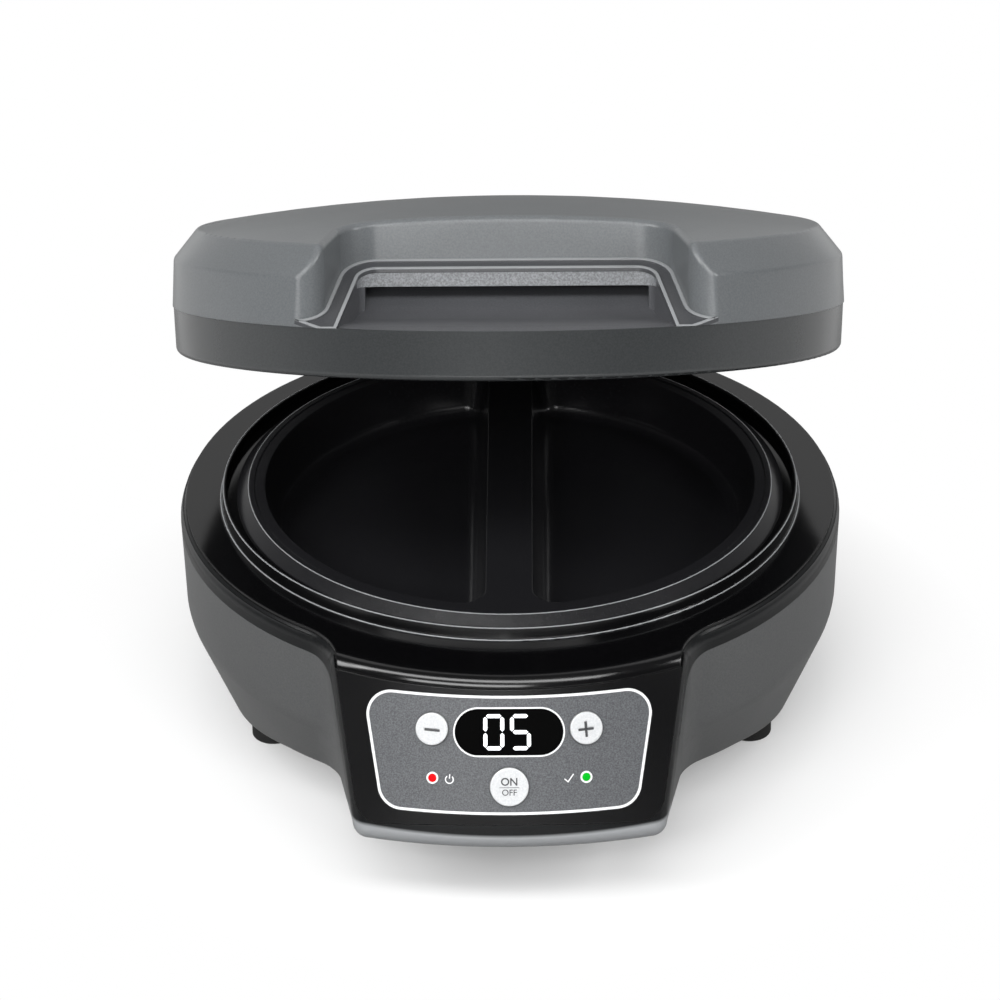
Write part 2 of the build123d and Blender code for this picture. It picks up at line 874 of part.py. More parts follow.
module_front = housing_back + sagitta(window_drop, window_size[0] * 0.3) + part_gap
with BuildPart() as display_module:
    with BuildSketch(face_plane(window_drop).offset(-board_depth)):
        Rectangle(window_size[0] * 0.6, window_size[1] * 0.7)
    extrude(amount=board_depth - module_front)
save(display_module.part, "display_module")

with BuildPart() as control_board:
    with BuildSketch(board_plane):
        Rectangle(*board_size)
        with Locations(*post_places):
            Circle(screw_radius, mode=Mode.SUBTRACT)
    extrude(amount=-board_thickness)
save(control_board.part, "control_board")

back_of_board = board_plane.offset(-board_thickness)
save(
    joined(
        screw_shape(
            Plane(
                origin=back_of_board.from_local_coords((x, y, 0)), x_dir=board_plane.x_dir,
                z_dir=-board_plane.z_dir,
            ),
            board_thickness + 3.5,
            screw_radius - 0.3,
        )
        for x, y in post_places
    ),
    "board_screws",
)

# Each button's stem stops short of its switch by more than the travel.
stem_gap = button_travel + 0.2
tact_switches = []
for name, (drop, across, radius) in button_places.items():
    seat = face_plane(drop, across)
    switch_front = board_depth - switch_height - switch_plunger - sagitta(drop, across)
    stem_end = switch_front - stem_gap
    cap = disc(radius, seat.offset(-housing_back - 0.3))
    flange = disc(radius + button_flange, seat.offset(-housing_back - 0.3))
    stem = disc(stem_radius, seat.offset(-housing_back - 0.3))
    with BuildPart() as button:
        extrude(cap, amount=housing_back + 0.3 + button_proud)
        circles = button.edges().filter_by(GeomType.CIRCLE)
        fillet(circles.sort_by_distance(seat.offset(board_depth).origin)[0], button_edge_round)
        extrude(flange, amount=-button_flange_thickness)
        extrude(stem, amount=-(stem_end - housing_back - 0.3))
        if name != "button_start":
            with BuildSketch(seat.offset(button_proud)):
                Rectangle(mark_length, mark_width)
                if name == "button_plus":
                    Rectangle(mark_width, mark_length)
            extrude(amount=-mark_depth, mode=Mode.SUBTRACT)
    save(button.part, name)
    tip = seat.offset(-switch_front)
    foot = board_plane.to_local_coords(tip.origin)
    with BuildPart() as switch:
        with BuildSketch(board_plane):
            with Locations((foot.X, foot.Y)):
                Rectangle(switch_size, switch_size)
        extrude(amount=switch_height)
        with BuildSketch(board_plane.offset(switch_height)):
            with Locations((foot.X, foot.Y)):
                Circle(stem_radius * 0.8)
        extrude(amount=switch_plunger - part_gap)
    tact_switches.append(switch.part)
save(joined(tact_switches), "tact_switches")

rings = []
for name, across in light_places.items():
    seat = face_plane(light_drop, across)
    lens = disc(light_radius, seat.offset(light_proud))
    with BuildPart() as light:
        extrude(lens, amount=-(board_depth - sagitta(light_drop, across) - light_radius))
        circles = light.edges().filter_by(GeomType.CIRCLE)
        fillet(circles.sort_by_distance(seat.offset(board_depth).origin)[0], light_proud)
    save(light.part, name)
    with BuildPart() as ring:
        collar = disc(light_ring_radius, seat.offset(light_proud / 2))
        extrude(collar, amount=-(label_thickness + light_proud / 2 - part_gap))
        extrude(disc(light_radius + part_gap, seat.offset(light_proud)), amount=-2, mode=Mode.SUBTRACT)
    rings.append(ring.part)
save(joined(rings), "light_rings")

# ---------------------------------------------------------------- lower plate and heater
plate_top = deck_z + plate_rise
outer_well = well_radius + plate_thickness
lower_profile = outline(
    [
        (0, deck_z + plate_bottom),
        (outer_well - (well_depth + plate_thickness) * tan(radians(well_taper)), deck_z + plate_bottom),
        (outer_well, deck_z + groove_height),
        (plate_edge_radius, deck_z + groove_height),
        (plate_edge_radius, deck_z + plate_edge_height),
        (bead_outer_radius, plate_top + bead_height),
        (bead_inner_radius, plate_top + bead_height),
        (bead_inner_radius - bead_height, plate_top),
        (0, plate_top),
    ],
    plane=Plane.XZ,
)


def half_moons(level, radius):
    """The two well outlines, with round corners beside the divider."""
    with BuildSketch(Plane.XY.offset(level)) as wells:
        Circle(radius)
        Rectangle(divider_width, 3 * radius, mode=Mode.SUBTRACT)
        fillet(wells.vertices(), well_corner)
    return wells.sketch


with BuildPart() as wells:
    for half in half_moons(plate_top + 0.01, well_radius).faces():
        extrude(half, amount=-well_depth - 0.01, taper=well_taper)
    fillet(wells.edges().group_by(Axis.Z)[0], well_floor_round)

rib_outer = heater_circle + heater_radius + part_gap
rib_inner = heater_circle - heater_radius - part_gap
with BuildPart() as lower_cooking_plate:
    revolve(lower_profile, axis=Axis.Z)
    add(wells.part, mode=Mode.SUBTRACT)
    with BuildSketch(Plane.XY.offset(deck_z + plate_bottom)):
        Rectangle(divider_width - 2 * plate_thickness, 1.8 * well_radius)
    extrude(amount=well_depth, mode=Mode.SUBTRACT)
    with BuildSketch(Plane.XY.offset(deck_z + plate_bottom)):
        Circle(rib_outer + heater_rib)
        Circle(rib_outer, mode=Mode.SUBTRACT)
        Circle(rib_inner)
        Circle(rib_inner - heater_rib, mode=Mode.SUBTRACT)
    extrude(amount=-heater_rib_depth)
    with BuildSketch(Plane.XY.offset(deck_z + plate_bottom)):
        with Locations(*sector_points(stud_circle, cover_boss_angles)):
            Circle(stud_radius)
            Circle(screw_radius + screw_fit, mode=Mode.SUBTRACT)
    extrude(amount=-stud_length)
save(lower_cooking_plate.part, "lower_cooking_plate")

save(
    joined(
        screw_shape(Plane(origin=(x, y, deck_z + shield_floor - sheet), z_dir=down), stud_length)
        for x, y in sector_points(stud_circle, cover_boss_angles)
    ),
    "plate_screws",
)


def tube_heater(circle, centre, level):
    """A round tube bent into an open ring, with a terminal pin on each end."""
    start = 90 + (360 - heater_arc) / 2
    with BuildPart() as heater:
        for end, way in ((start, 1), (start + heater_arc, -1)):
            x, y = circle * cos(radians(end)), circle * sin(radians(end))
            along = (way * sin(radians(end)), -way * cos(radians(end)), 0)
            mouth = Plane(origin=(x, centre + y, level), z_dir=along)
            if way == 1:
                tube = disc(heater_radius, mouth)
                revolve(tube, axis=Axis((0, centre, 0), (0, 0, 1)), revolution_arc=heater_arc)
            extrude(disc(terminal_radius, mouth), amount=terminal_length)
    return heater.part


save(tube_heater(heater_circle, 0, deck_z + plate_bottom - heater_radius - part_gap), "lower_heater")

shield_profile = outline(
    [
        (0, deck_z + shield_floor - sheet),
        (shield_floor_radius, deck_z + shield_floor - sheet),
        (shield_wall_radius, deck_z - deck_thickness - sheet),
        (shield_flange_radius, deck_z - deck_thickness - sheet),
        (shield_flange_radius, deck_z - deck_thickness),
        (shield_wall_radius - sheet, deck_z - deck_thickness),
        (shield_floor_radius - sheet, deck_z + shield_floor),
        (0, deck_z + shield_floor),
    ],
    plane=Plane.XZ,
)
with BuildPart() as heat_shield:
    revolve(shield_profile, axis=Axis.Z)
    stud_places = sector_points(stud_circle, cover_boss_angles)
    with Locations(*[(x, y, deck_z + shield_floor) for x, y in stud_places]):
        Cylinder(screw_radius + 0.2, 4 * sheet, mode=Mode.SUBTRACT)
    with Locations((0, heater_circle - 3 * shield_lead_hole, deck_z + shield_floor)):
        Cylinder(shield_lead_hole, 4 * sheet, mode=Mode.SUBTRACT)
save(heat_shield.part, "heat_shield")

thermostat_x = heater_circle / 2
with BuildPart() as thermostat:
    with Locations((thermostat_x, 0, deck_z + plate_bottom - part_gap)):
        Cylinder(thermostat_radius, thermostat_height, align=below)
        with GridLocations(0, thermostat_radius * 2, 1, 2):
            Box(thermostat_radius / 2, thermostat_radius, 1, align=below)
save(thermostat.part, "thermostat")

with BuildPart() as thermal_fuse:
    with Locations(Location((-thermostat_x, 0, deck_z + plate_bottom - fuse_radius - part_gap), (90, 0, 0))):
        Cylinder(fuse_radius, fuse_length)
        Cylinder(fuse_radius / 4, 2 * fuse_length)
save(thermal_fuse.part, "thermal_fuse")

# ---------------------------------------------------------------- power board
board_level = foot_height + wall + 8.0
power_centre = (0, 36)
power_size = (80.0, 48.0)
choke_place, capacitor_place, relay_place = (
    (power_centre[0] + x, power_centre[1] + y, board_level + board_thickness) for x, y in ((-22, 4), (6, 8), (26, -12))
)
power_posts = [(power_centre[0] + x, power_centre[1] + y) for x in (-34, 34) for y in (-19, 19)]
with BuildPart() as power_board:
    with BuildSketch(Plane.XY.offset(board_level)):
        with Locations(power_centre):
            Rectangle(*power_size)
    extrude(amount=board_thickness)
    with Locations(choke_place):
        Box(19, 16, 15, align=standing)
    with Locations(capacitor_place):
        Cylinder(6.5, 14, align=standing)
    with Locations(relay_place):
        Box(10, 12, 9, align=standing)
save(power_board.part, "power_board")

with BuildPart() as power_board_posts:
    with BuildSketch(Plane.XY.offset(foot_height + wall)):
        with Locations(*power_posts):
            Circle(board_post_radius)
    extrude(amount=board_level - foot_height - wall)
save(power_board_posts.part, "power_board_posts")

# ---------------------------------------------------------------- base hinge bracket and pin
bracket_side = outline(
    [
        (bracket_seat * 6.4, deck_z - bracket_top_drop - bracket_depth),
        (bracket_seat * 6.4, deck_z - bracket_top_drop),
        (hinge_reach - hinge_radius * 0.9, deck_z - hinge_radius * 0.45),
        (hinge_reach + hinge_radius * 0.9, deck_z - hinge_radius * 0.45),
        (hinge_reach - hinge_radius * 0.4, deck_z - bracket_top_drop - bracket_depth / 2),
    ],
    plane=Plane.YZ,
)
hinge_plane = Plane(origin=(0, hinge_reach, deck_z), x_dir=(0, 1, 0), z_dir=(1, 0, 0))
with BuildPart() as base_hinge_bracket:
    extrude(bracket_side, amount=base_knuckle, both=True)
    extrude(disc(hinge_radius, hinge_plane), amount=base_knuckle, both=True)
    revolve(round_outline(0, 0), axis=Axis.Z, mode=Mode.SUBTRACT)
    extrude(disc(pin_radius + pin_fit, hinge_plane), amount=2 * base_knuckle, both=True, mode=Mode.SUBTRACT)
    for x, z in hinge_screw_places:
        pilot = disc(screw_radius + screw_fit, hinge_screw_plane(x, z))
        extrude(pilot, amount=-(waist_radius - pad_face) - 8, mode=Mode.SUBTRACT)
save(base_hinge_bracket.part, "base_hinge_bracket")

save(
    joined(
        screw_shape(hinge_screw_plane(x, z), waist_radius - pad_face + 7) for x, z in hinge_screw_places
    ),
    "hinge_screws",
)

lid_knuckle_start = base_knuckle + knuckle_gap
lid_knuckle_end = lid_knuckle_start + lid_knuckle_width
clip_inner = lid_knuckle_end + knuckle_gap
pin_end = clip_inner + clip_width + pin_overhang / 3
with BuildPart() as hinge_pin:
    extrude(disc(pin_radius, hinge_plane), amount=pin_end, both=True)
    chamfer(hinge_pin.edges().filter_by(GeomType.CIRCLE), 0.4)
save(hinge_pin.part, "hinge_pin")

with BuildPart() as hinge_clips:
    for side in (-1, 1):
        with BuildSketch(hinge_plane.offset(side * (clip_inner + clip_width / 2))):
            Circle(clip_radius)
            Circle(pin_radius + pin_fit, mode=Mode.SUBTRACT)
        extrude(amount=clip_width / 2, both=True)
save(hinge_clips.part, "hinge_clips")

# ---------------------------------------------------------------- lid mouldings
lid_bottom = deck_z + lid_gap
seam_z = deck_z + seam_height
flange_z = deck_z + lid_flange_height
flange_top = flange_z + lid_flange_thickness
skirt_lean = (skirt_top_radius - skirt_radius) / (seam_z - lid_bottom)
skirt_profile = outline(
    [
        (skirt_radius - lid_wall, lid_bottom),
        (skirt_radius, lid_bottom),
        (skirt_top_radius, seam_z),
        (skirt_top_radius - lid_wall, seam_z),
        (skirt_radius + skirt_lean * (flange_top - lid_bottom) - lid_wall, flange_top),
        (lid_flange_inner, flange_top),
        (lid_flange_inner, flange_z),
        (skirt_radius + skirt_lean * (flange_z - lid_bottom) - lid_wall, flange_z),
    ],
    [0, skirt_round, 0, 0, 0, 0, 0, 0],
    Plane.XZ,
)
lid_screw_angles = post_angles
lid_screw_places = sector_points(lid_boss_radius, lid_screw_angles)
plate_screw_angles = (0, 60, 120, 180, 240, 300)
upper_screw_circle = (upper_flange_radius + lid_flange_inner) / 2
bracket_screw_angles = (-9.0, 9.0)
bracket_z = deck_z + lid_flange_height + 3.5


def rear_plane(angle, radius):
    """A plane at the back of the lid, square to its wall, angle degrees from the middle."""
    turn = radians(angle)
    return Plane(
        origin=(radius * sin(turn), radius * cos(turn), bracket_z),
        x_dir=(cos(turn), -sin(turn), 0), z_dir=(sin(turn), cos(turn), 0),
    )


with BuildPart() as lid_skirt:
    revolve(skirt_profile, axis=Axis.Z)
    for angle in bracket_screw_angles:
        pad = disc(post_radius, rear_plane(angle, skirt_radius - 3 * lid_wall))
        extrude(pad, amount=2.5 * lid_wall)
        hole = disc(screw_radius + screw_fit, rear_plane(angle, skirt_radius - 3 * lid_wall))
        extrude(hole, amount=4 * lid_wall, mode=Mode.SUBTRACT)
    with Locations(*[(x, y, flange_z) for x, y in lid_screw_places]):
        Cylinder(screw_radius + 0.2, 4 * lid_flange_thickness, mode=Mode.SUBTRACT)
    with Locations(*[(x, y, flange_z) for x, y in sector_points(upper_screw_circle, plate_screw_angles)]):
        Cylinder(screw_radius - 0.4 + screw_fit, 4 * lid_flange_thickness, mode=Mode.SUBTRACT)
save(opened(lid_skirt.part), "lid_skirt")


def inset_corner(before, corner, after, inset):
    """A corner of an outline that runs with its inside on the left, moved in from both sides."""
    first = (Vector(*corner) - Vector(*before)).normalized()
    second = (Vector(*after) - Vector(*corner)).normalized()
    inwards = Vector(-first.Y - second.Y, first.X + second.X)
    return Vector(*corner) + inwards * (inset / (1 + first.dot(second)))


def lid_form(inset, bottom):
    """The cap's turned form, drawn inset from its skin."""
    seam = (skirt_top_radius + cap_overhang, seam_z)
    shoulder = (shoulder_radius, deck_z + shoulder_height)
    crown_edge = (crown_radius, deck_z + crown_height)
    summit = (0, deck_z + crown_height + crown_rise)
    low = Vector(seam[0] - inset, bottom)
    bend = inset_corner(seam, shoulder, crown_edge, inset)
    rim = inset_corner(shoulder, crown_edge, summit, inset)
    peak = Vector(0, summit[1] - inset)
    rise = peak.Y - rim.Y
    dome_radius = (rim.X**2 + rise**2) / (2 * rise)
    middle = Vector(rim.X / 2, peak.Y - dome_radius + sqrt(dome_radius**2 - rim.X**2 / 4))
    with BuildSketch(Plane.XZ) as section:
        with BuildLine():
            Polyline((0, bottom), low, bend, rim)
            ThreePointArc(rim, middle, peak)
            Line(peak, (0, bottom))
        make_face()
        if shoulder_round - inset > 1:
            fillet(section.vertices().sort_by_distance((bend + rim) * 0.5)[0:2], shoulder_round - inset)
    with BuildPart() as form:
        revolve(section.sketch, axis=Axis.Z)
    return form.part


def notch_shape(grown):
    """Plan of the handle notch, grown outwards into the lid by the given amount."""
    lean = (notch_mouth_half_width - notch_half_width) / (notch_mouth - notch_back)
    back = notch_back - grown
    back_half = notch_half_width + grown * sqrt(1 + lean**2) - lean * grown
    mouth = notch_mouth - grown
    mouth_half = notch_mouth_half_width + grown * sqrt(1 + lean**2) - lean * grown
    far = 1.6 * rim_radius
    lip = mouth - (rim_radius - mouth_half) * tan(radians(notch_lip_angle))
    points = [
        (-rim_radius, -lip), (-mouth_half, -mouth), (-back_half, -back), (back_half, -back),
        (mouth_half, -mouth), (rim_radius, -lip), (rim_radius, -far), (-rim_radius, -far),
    ]
    flare = max(notch_flare - grown, 1)
    corner = notch_corner + grown
    return outline(points, [0, flare, corner, corner, flare, 0, 0, 0], Plane.XY)


def bezel_level(y, lowered=0.0):
    """Height of the bezel's sloping face at a place, lowered square to it."""
    fall = (-notch_back - y) * tan(radians(bezel_slope))
    return deck_z + bezel_back_height - fall - lowered / cos(radians(bezel_slope))


def above_bezel(lowered):
    """The space above the bezel's sloping face."""
    front, back, high = -2 * rim_radius, 0, deck_z + rim_radius
    points = [
        (front, bezel_level(front, lowered)), (back, bezel_level(back, lowered)), (back, high), (front, high),
    ]
    with BuildPart() as space:
        extrude(outline(points, plane=Plane.YZ), amount=2 * rim_radius, both=True)
    return space.part


def notch_space(grown, lowered):
    """The notch above the sloping face."""
    with BuildPart() as space:
        extrude(notch_shape(grown), amount=2 * rim_radius)
        add(above_bezel(lowered), mode=Mode.INTERSECT)
    return space.part


def pocket_shape(grown):
    """Plan of the pocket inside the bezel."""
    inner = bezel_width - grown
    lean = (notch_mouth_half_width - notch_half_width) / (notch_mouth - notch_back)
    back = notch_back + inner
    far = 1.3 * rim_radius
    back_half = notch_half_width - inner * sqrt(1 + lean**2) + lean * inner
    far_half = back_half + (far - back) * lean
    points = [(-far_half, -far), (-back_half, -back), (back_half, -back), (far_half, -far)]
    corner = notch_corner - inner
    return outline(points, [0, corner, corner, 0], Plane.XY)


lid_outer = lid_form(0, seam_z)
lid_inner = lid_form(lid_wall, seam_z - lid_wall)
lid_middle = lid_form(lid_wall / 2, flange_top)
lid_keep_in = lid_form(lid_wall + cap_overhang + seam_gap, flange_top)

with BuildPart() as lid_cavity:
    add(lid_inner)
    add(notch_space(lid_wall, bezel_thickness + lid_wall), mode=Mode.SUBTRACT)

with BuildPart() as lid_bosses:
    with BuildSketch(Plane.XY.offset(flange_top)):
        with Locations(*lid_screw_places):
            Circle(post_radius)
    extrude(amount=crown_height)
    add(lid_middle, mode=Mode.INTERSECT)

with BuildPart() as lid_cover:
    add(lid_outer)
    add(notch_space(0, bezel_thickness), mode=Mode.SUBTRACT)
    notch_top = lid_cover.edges().filter_by(
        lambda edge: -notch_mouth < edge.center().Y < -notch_back + notch_edge_round
        and abs(edge.center().X) < notch_mouth_half_width
        and edge.center().Z > deck_z + bezel_back_height
        and edge.geom_type != GeomType.LINE
    )
    fillet(notch_top, notch_edge_round)
    add(lid_cavity.part, mode=Mode.SUBTRACT)
    extrude(pocket_shape(scoop_wall + seam_gap), amount=2 * rim_radius, mode=Mode.SUBTRACT)
    add(lid_bosses.part)
    with Locations(*[(x, y, flange_top) for x, y in lid_screw_places]):
        Cylinder(
            screw_radius + screw_fit, 5 * post_radius, mode=Mode.SUBTRACT,
            align=standing,
        )
save(opened(lid_cover.part), "lid_cover")

with BuildPart() as handle_bezel:
    extrude(notch_shape(-part_gap), amount=2 * rim_radius)
    add(above_bezel(bezel_thickness), mode=Mode.INTERSECT)
    add(above_bezel(0), mode=Mode.SUBTRACT)
    extrude(pocket_shape(0), amount=2 * rim_radius, mode=Mode.SUBTRACT)
    add(lid_outer, mode=Mode.INTERSECT)
save(opened(handle_bezel.part), "handle_bezel")


def scoop_space(grown):
    """The hand space of the recess, grown outwards by the scoop's wall."""
    slope = (scoop_back_height - scoop_floor) / (scoop_bend - scoop_back)
    floor = deck_z + scoop_floor - grown
    roof = deck_z + scoop_back_height + grown
    bend = -scoop_bend + grown * slope / (1 + sqrt(1 + slope**2))
    end = bend + (roof - floor) / slope
    front = -2 * rim_radius
    side_view = outline([(front, floor), (bend, floor), (end, roof), (front, roof)],
                        [0, scoop_bend_radius, 0, 0], Plane.YZ)
    tall_view = outline(
        [(front, floor), (bend, floor), (end, roof), (end, 2 * deck_z), (front, 2 * deck_z)],
        [0, scoop_bend_radius, 0, 0, 0], Plane.YZ,
    )
    with BuildPart() as pocket:
        extrude(pocket_shape(grown), amount=3 * rim_radius)
        extrude(tall_view, amount=rim_radius, both=True, mode=Mode.INTERSECT)
    with BuildPart() as under_grip:
        extrude(side_view, amount=grip_half_width + grown, both=True)
        with BuildSketch(Plane.XY):
            with Locations((0, -scoop_bend)):
                Rectangle(2 * rim_radius, 4 * (scoop_bend - scoop_back))
        extrude(amount=2 * deck_z, mode=Mode.INTERSECT)
    with BuildPart() as space:
        add(pocket.part)
        add(under_grip.part)
        add(above_bezel(bezel_thickness + part_gap), mode=Mode.SUBTRACT)
    return space.part


grip_z = deck_z + grip_bottom
with BuildPart() as grip_band:
    with BuildSketch(Plane.XY.offset(grip_z)):
        with Locations((0, -notch_back - bezel_width)):
            Rectangle(4 * rim_radius, 2 * (notch_corner - bezel_width))
    extrude(amount=notch_back)
    add(above_bezel(bezel_thickness + part_gap), mode=Mode.SUBTRACT)

with BuildPart() as handle_grip:
    extrude(pocket_shape(grip_thickness), amount=2 * rim_radius)
    extrude(pocket_shape(0), amount=2 * rim_radius, mode=Mode.SUBTRACT)
    add(grip_band.part, mode=Mode.INTERSECT)
save(opened(handle_grip.part), "handle_grip")

with BuildPart() as handle_scoop:
    add(scoop_space(scoop_wall))
    add(scoop_space(0), mode=Mode.SUBTRACT)
    add(grip_band.part, mode=Mode.SUBTRACT)
    add(lid_keep_in, mode=Mode.INTERSECT)
save(opened(handle_scoop.part), "handle_scoop")

save(
    opened(joined(
        screw_shape(Plane(origin=(x, y, flange_z), z_dir=down), lid_flange_thickness + 2 * post_radius)
        for x, y in lid_screw_places
    )),
    "lid_screws",
)

# ---------------------------------------------------------------- upper plate and heater
upper_face = plate_top + bead_height + upper_plate_gap
upper_back = upper_face + upper_well_depth + plate_thickness
upper_flange_top = flange_top + upper_flange_thickness
flange_clear = lid_flange_inner - lid_gap
upper_profile = outline(
    [
        (0, upper_face),
        (flange_clear, upper_face),
        (flange_clear, flange_top),
        (upper_flange_radius, flange_top),
        (upper_flange_radius, upper_flange_top),
        (upper_body_radius + plate_thickness, upper_flange_top),
        (upper_body_radius, upper_back),
        (0, upper_back),
    ],
    plane=Plane.XZ,
)
with BuildPart() as upper_wells:
    for half in half_moons(upper_face - 0.01, well_radius).faces():
        extrude(half, amount=upper_well_depth + 0.01, taper=upper_well_taper)
    fillet(upper_wells.edges().group_by(Axis.Z)[-1], upper_well_round)

heater_middle = (0, upper_heater_centre)
shield_screw_places = [
    (x, y + upper_heater_centre) for x, y in sector_points(lid_shield_radius - head_radius, (90, 210, 330))
]
with BuildPart() as upper_cooking_plate:
    revolve(upper_profile, axis=Axis.Z)
    add(upper_wells.part, mode=Mode.SUBTRACT)
    with Locations(*[(x, y, flange_top) for x, y in sector_points(upper_screw_circle, plate_screw_angles)]):
        Cylinder(screw_radius - 0.2, 4 * upper_flange_thickness, mode=Mode.SUBTRACT)
    with Locations(*[(x, y, upper_back) for x, y in shield_screw_places]):
        Cylinder(screw_radius + screw_fit, plate_thickness * 1.2, mode=Mode.SUBTRACT)
save(opened(upper_cooking_plate.part), "upper_cooking_plate")

save(
    opened(joined(
        screw_shape(
            Plane(origin=(x, y, upper_flange_top), z_dir=(0, 0, 1)),
            upper_flange_thickness + lid_flange_thickness - 0.4, screw_radius - 0.4,
        )
        for x, y in sector_points(upper_screw_circle, plate_screw_angles)
    )),
    "upper_plate_screws",
)

upper_heater_level = upper_back + heater_radius + part_gap
save(
    opened(tube_heater(upper_heater_circle, upper_heater_centre, upper_heater_level)), "upper_heater"
)

lid_shield_top = upper_back + lid_shield_height
lid_shield_profile = outline(
    [
        (0, lid_shield_top - sheet),
        (lid_shield_radius - 3.4 * head_radius, lid_shield_top - sheet),
        (lid_shield_radius - 2.6 * head_radius, upper_back),
        (lid_shield_radius, upper_back),
        (lid_shield_radius, upper_back + sheet),
        (lid_shield_radius - 2.6 * head_radius + sheet, upper_back + sheet),
        (lid_shield_radius - 3.4 * head_radius + sheet, lid_shield_top),
        (0, lid_shield_top),
    ],
    plane=Plane.XZ,
)
with BuildPart() as lid_heat_shield:
    revolve(lid_shield_profile, axis=Axis.Z)
    with Locations(*[(x, y - upper_heater_centre, upper_back) for x, y in shield_screw_places]):
        Cylinder(screw_radius + 0.2, 4 * sheet, mode=Mode.SUBTRACT)
    with Locations((0, heater_circle / 2, lid_shield_top)):
        Cylinder(shield_lead_hole, 4 * sheet, mode=Mode.SUBTRACT)
save(
    opened(lid_heat_shield.part.translate((0, upper_heater_centre, 0))), "lid_heat_shield"
)

save(
    opened(joined(
        screw_shape(Plane(origin=(x, y, upper_back + sheet), z_dir=(0, 0, 1)), sheet + plate_thickness / 2)
        for x, y in shield_screw_places
    )),
    "shield_screws",
)

with BuildPart() as upper_thermostat:
    with Locations((0, upper_heater_centre, upper_back + part_gap)):
        Cylinder(
            thermostat_radius, thermostat_height, align=standing
        )
        with GridLocations(thermostat_radius * 2, 0, 2, 1):
            Box(thermostat_radius, thermostat_radius / 2, 1, align=standing)
save(opened(upper_thermostat.part), "upper_thermostat")

# ---------------------------------------------------------------- lid hinge bracket
def skirt_radius_at(height):
    """Outer radius of the lid's skirt at a height above the deck."""
    rise = (skirt_top_radius - skirt_radius) / (seam_height - lid_gap)
    return skirt_radius + (height - lid_gap) * rise


plate_low, plate_high = lid_flange_height - lid_wall, seam_height - 2 * lid_wall
cross_radius = skirt_top_radius + 4.0
cross_profile = outline(
    [
        (skirt_radius_at(plate_low), deck_z + plate_low),
        (cross_radius, deck_z + plate_low),
        (cross_radius, deck_z + plate_high),
        (skirt_radius_at(plate_high), deck_z + plate_high),
    ],
    plane=Plane.XZ,
)
arm_points = [
    (hinge_reach - 1.3 * bracket_seat, deck_z + plate_low),
    (hinge_reach - hinge_radius * 0.85, deck_z - hinge_radius * 0.5),
    (hinge_reach, deck_z),
    (hinge_reach - hinge_radius * 0.3, deck_z + hinge_radius * 0.95),
    (hinge_reach - 1.3 * bracket_seat, deck_z + plate_high),
]
skirt_core = outline(
    [
        (0, deck_z - seam_height),
        (skirt_radius_at(-seam_height), deck_z - seam_height),
        (skirt_radius_at(2 * seam_height), deck_z + 2 * seam_height),
        (0, deck_z + 2 * seam_height),
    ],
    plane=Plane.XZ,
)
with BuildPart() as lid_hinge_bracket:
    revolve(cross_profile, axis=Axis.Z)
    with BuildSketch(Plane.XY):
        with Locations((0, rim_radius)):
            Rectangle(2 * lid_knuckle_end, rim_radius)
    extrude(amount=2 * deck_z, mode=Mode.INTERSECT)
    for side in (-1, 1):
        middle = side * (lid_knuckle_start + lid_knuckle_width / 2)
        arm = outline(arm_points, plane=Plane.YZ.offset(middle))
        extrude(arm, amount=lid_knuckle_width / 2, both=True)
        knuckle = disc(hinge_radius, hinge_plane.offset(middle))
        extrude(knuckle, amount=lid_knuckle_width / 2, both=True)
    revolve(skirt_core, axis=Axis.Z, mode=Mode.SUBTRACT)
    bore = disc(pin_radius + hinge_running_fit, hinge_plane)
    extrude(bore, amount=2 * lid_knuckle_end, both=True, mode=Mode.SUBTRACT)
    for angle in bracket_screw_angles:
        hole = disc(screw_radius + 0.2, rear_plane(angle, cross_radius))
        extrude(hole, amount=2 * lid_wall, both=True, mode=Mode.SUBTRACT)
save(opened(lid_hinge_bracket.part), "lid_hinge_bracket")

save(
    opened(joined(
        screw_shape(rear_plane(angle, cross_radius), cross_radius - skirt_radius + 2 * lid_wall)
        for angle in bracket_screw_angles
    )),
    "bracket_screws",
)
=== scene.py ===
import json
from math import atan2, cos, pi, radians, sin

import bpy
from mathutils import Matrix, Vector


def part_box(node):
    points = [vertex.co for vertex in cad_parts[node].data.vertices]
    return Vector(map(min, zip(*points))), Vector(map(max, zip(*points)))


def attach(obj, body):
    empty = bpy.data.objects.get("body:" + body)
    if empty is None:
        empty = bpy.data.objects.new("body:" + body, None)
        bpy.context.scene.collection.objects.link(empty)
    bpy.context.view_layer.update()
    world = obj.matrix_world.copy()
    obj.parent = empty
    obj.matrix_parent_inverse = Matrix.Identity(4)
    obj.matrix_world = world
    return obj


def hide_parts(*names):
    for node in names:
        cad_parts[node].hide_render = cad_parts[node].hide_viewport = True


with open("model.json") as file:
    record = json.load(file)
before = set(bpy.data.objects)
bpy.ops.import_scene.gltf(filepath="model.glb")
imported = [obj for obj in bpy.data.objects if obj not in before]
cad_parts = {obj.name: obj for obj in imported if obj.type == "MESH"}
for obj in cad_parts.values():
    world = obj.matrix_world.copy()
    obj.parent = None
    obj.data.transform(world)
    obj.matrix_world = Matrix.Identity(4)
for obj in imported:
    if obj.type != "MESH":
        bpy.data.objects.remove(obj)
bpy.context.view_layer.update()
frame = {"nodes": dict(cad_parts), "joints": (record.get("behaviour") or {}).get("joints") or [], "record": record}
MM = 0.001


# ---------------------------------------------------------------- small helpers
def colour(code):
    """An sRGB hex value as the linear colour that a shader takes."""
    parts = [int(code[i:i + 2], 16) / 255 for i in (1, 3, 5)]
    return [c / 12.92 if c <= 0.04045 else ((c + 0.055) / 1.055) ** 2.4 for c in parts] + [1.0]


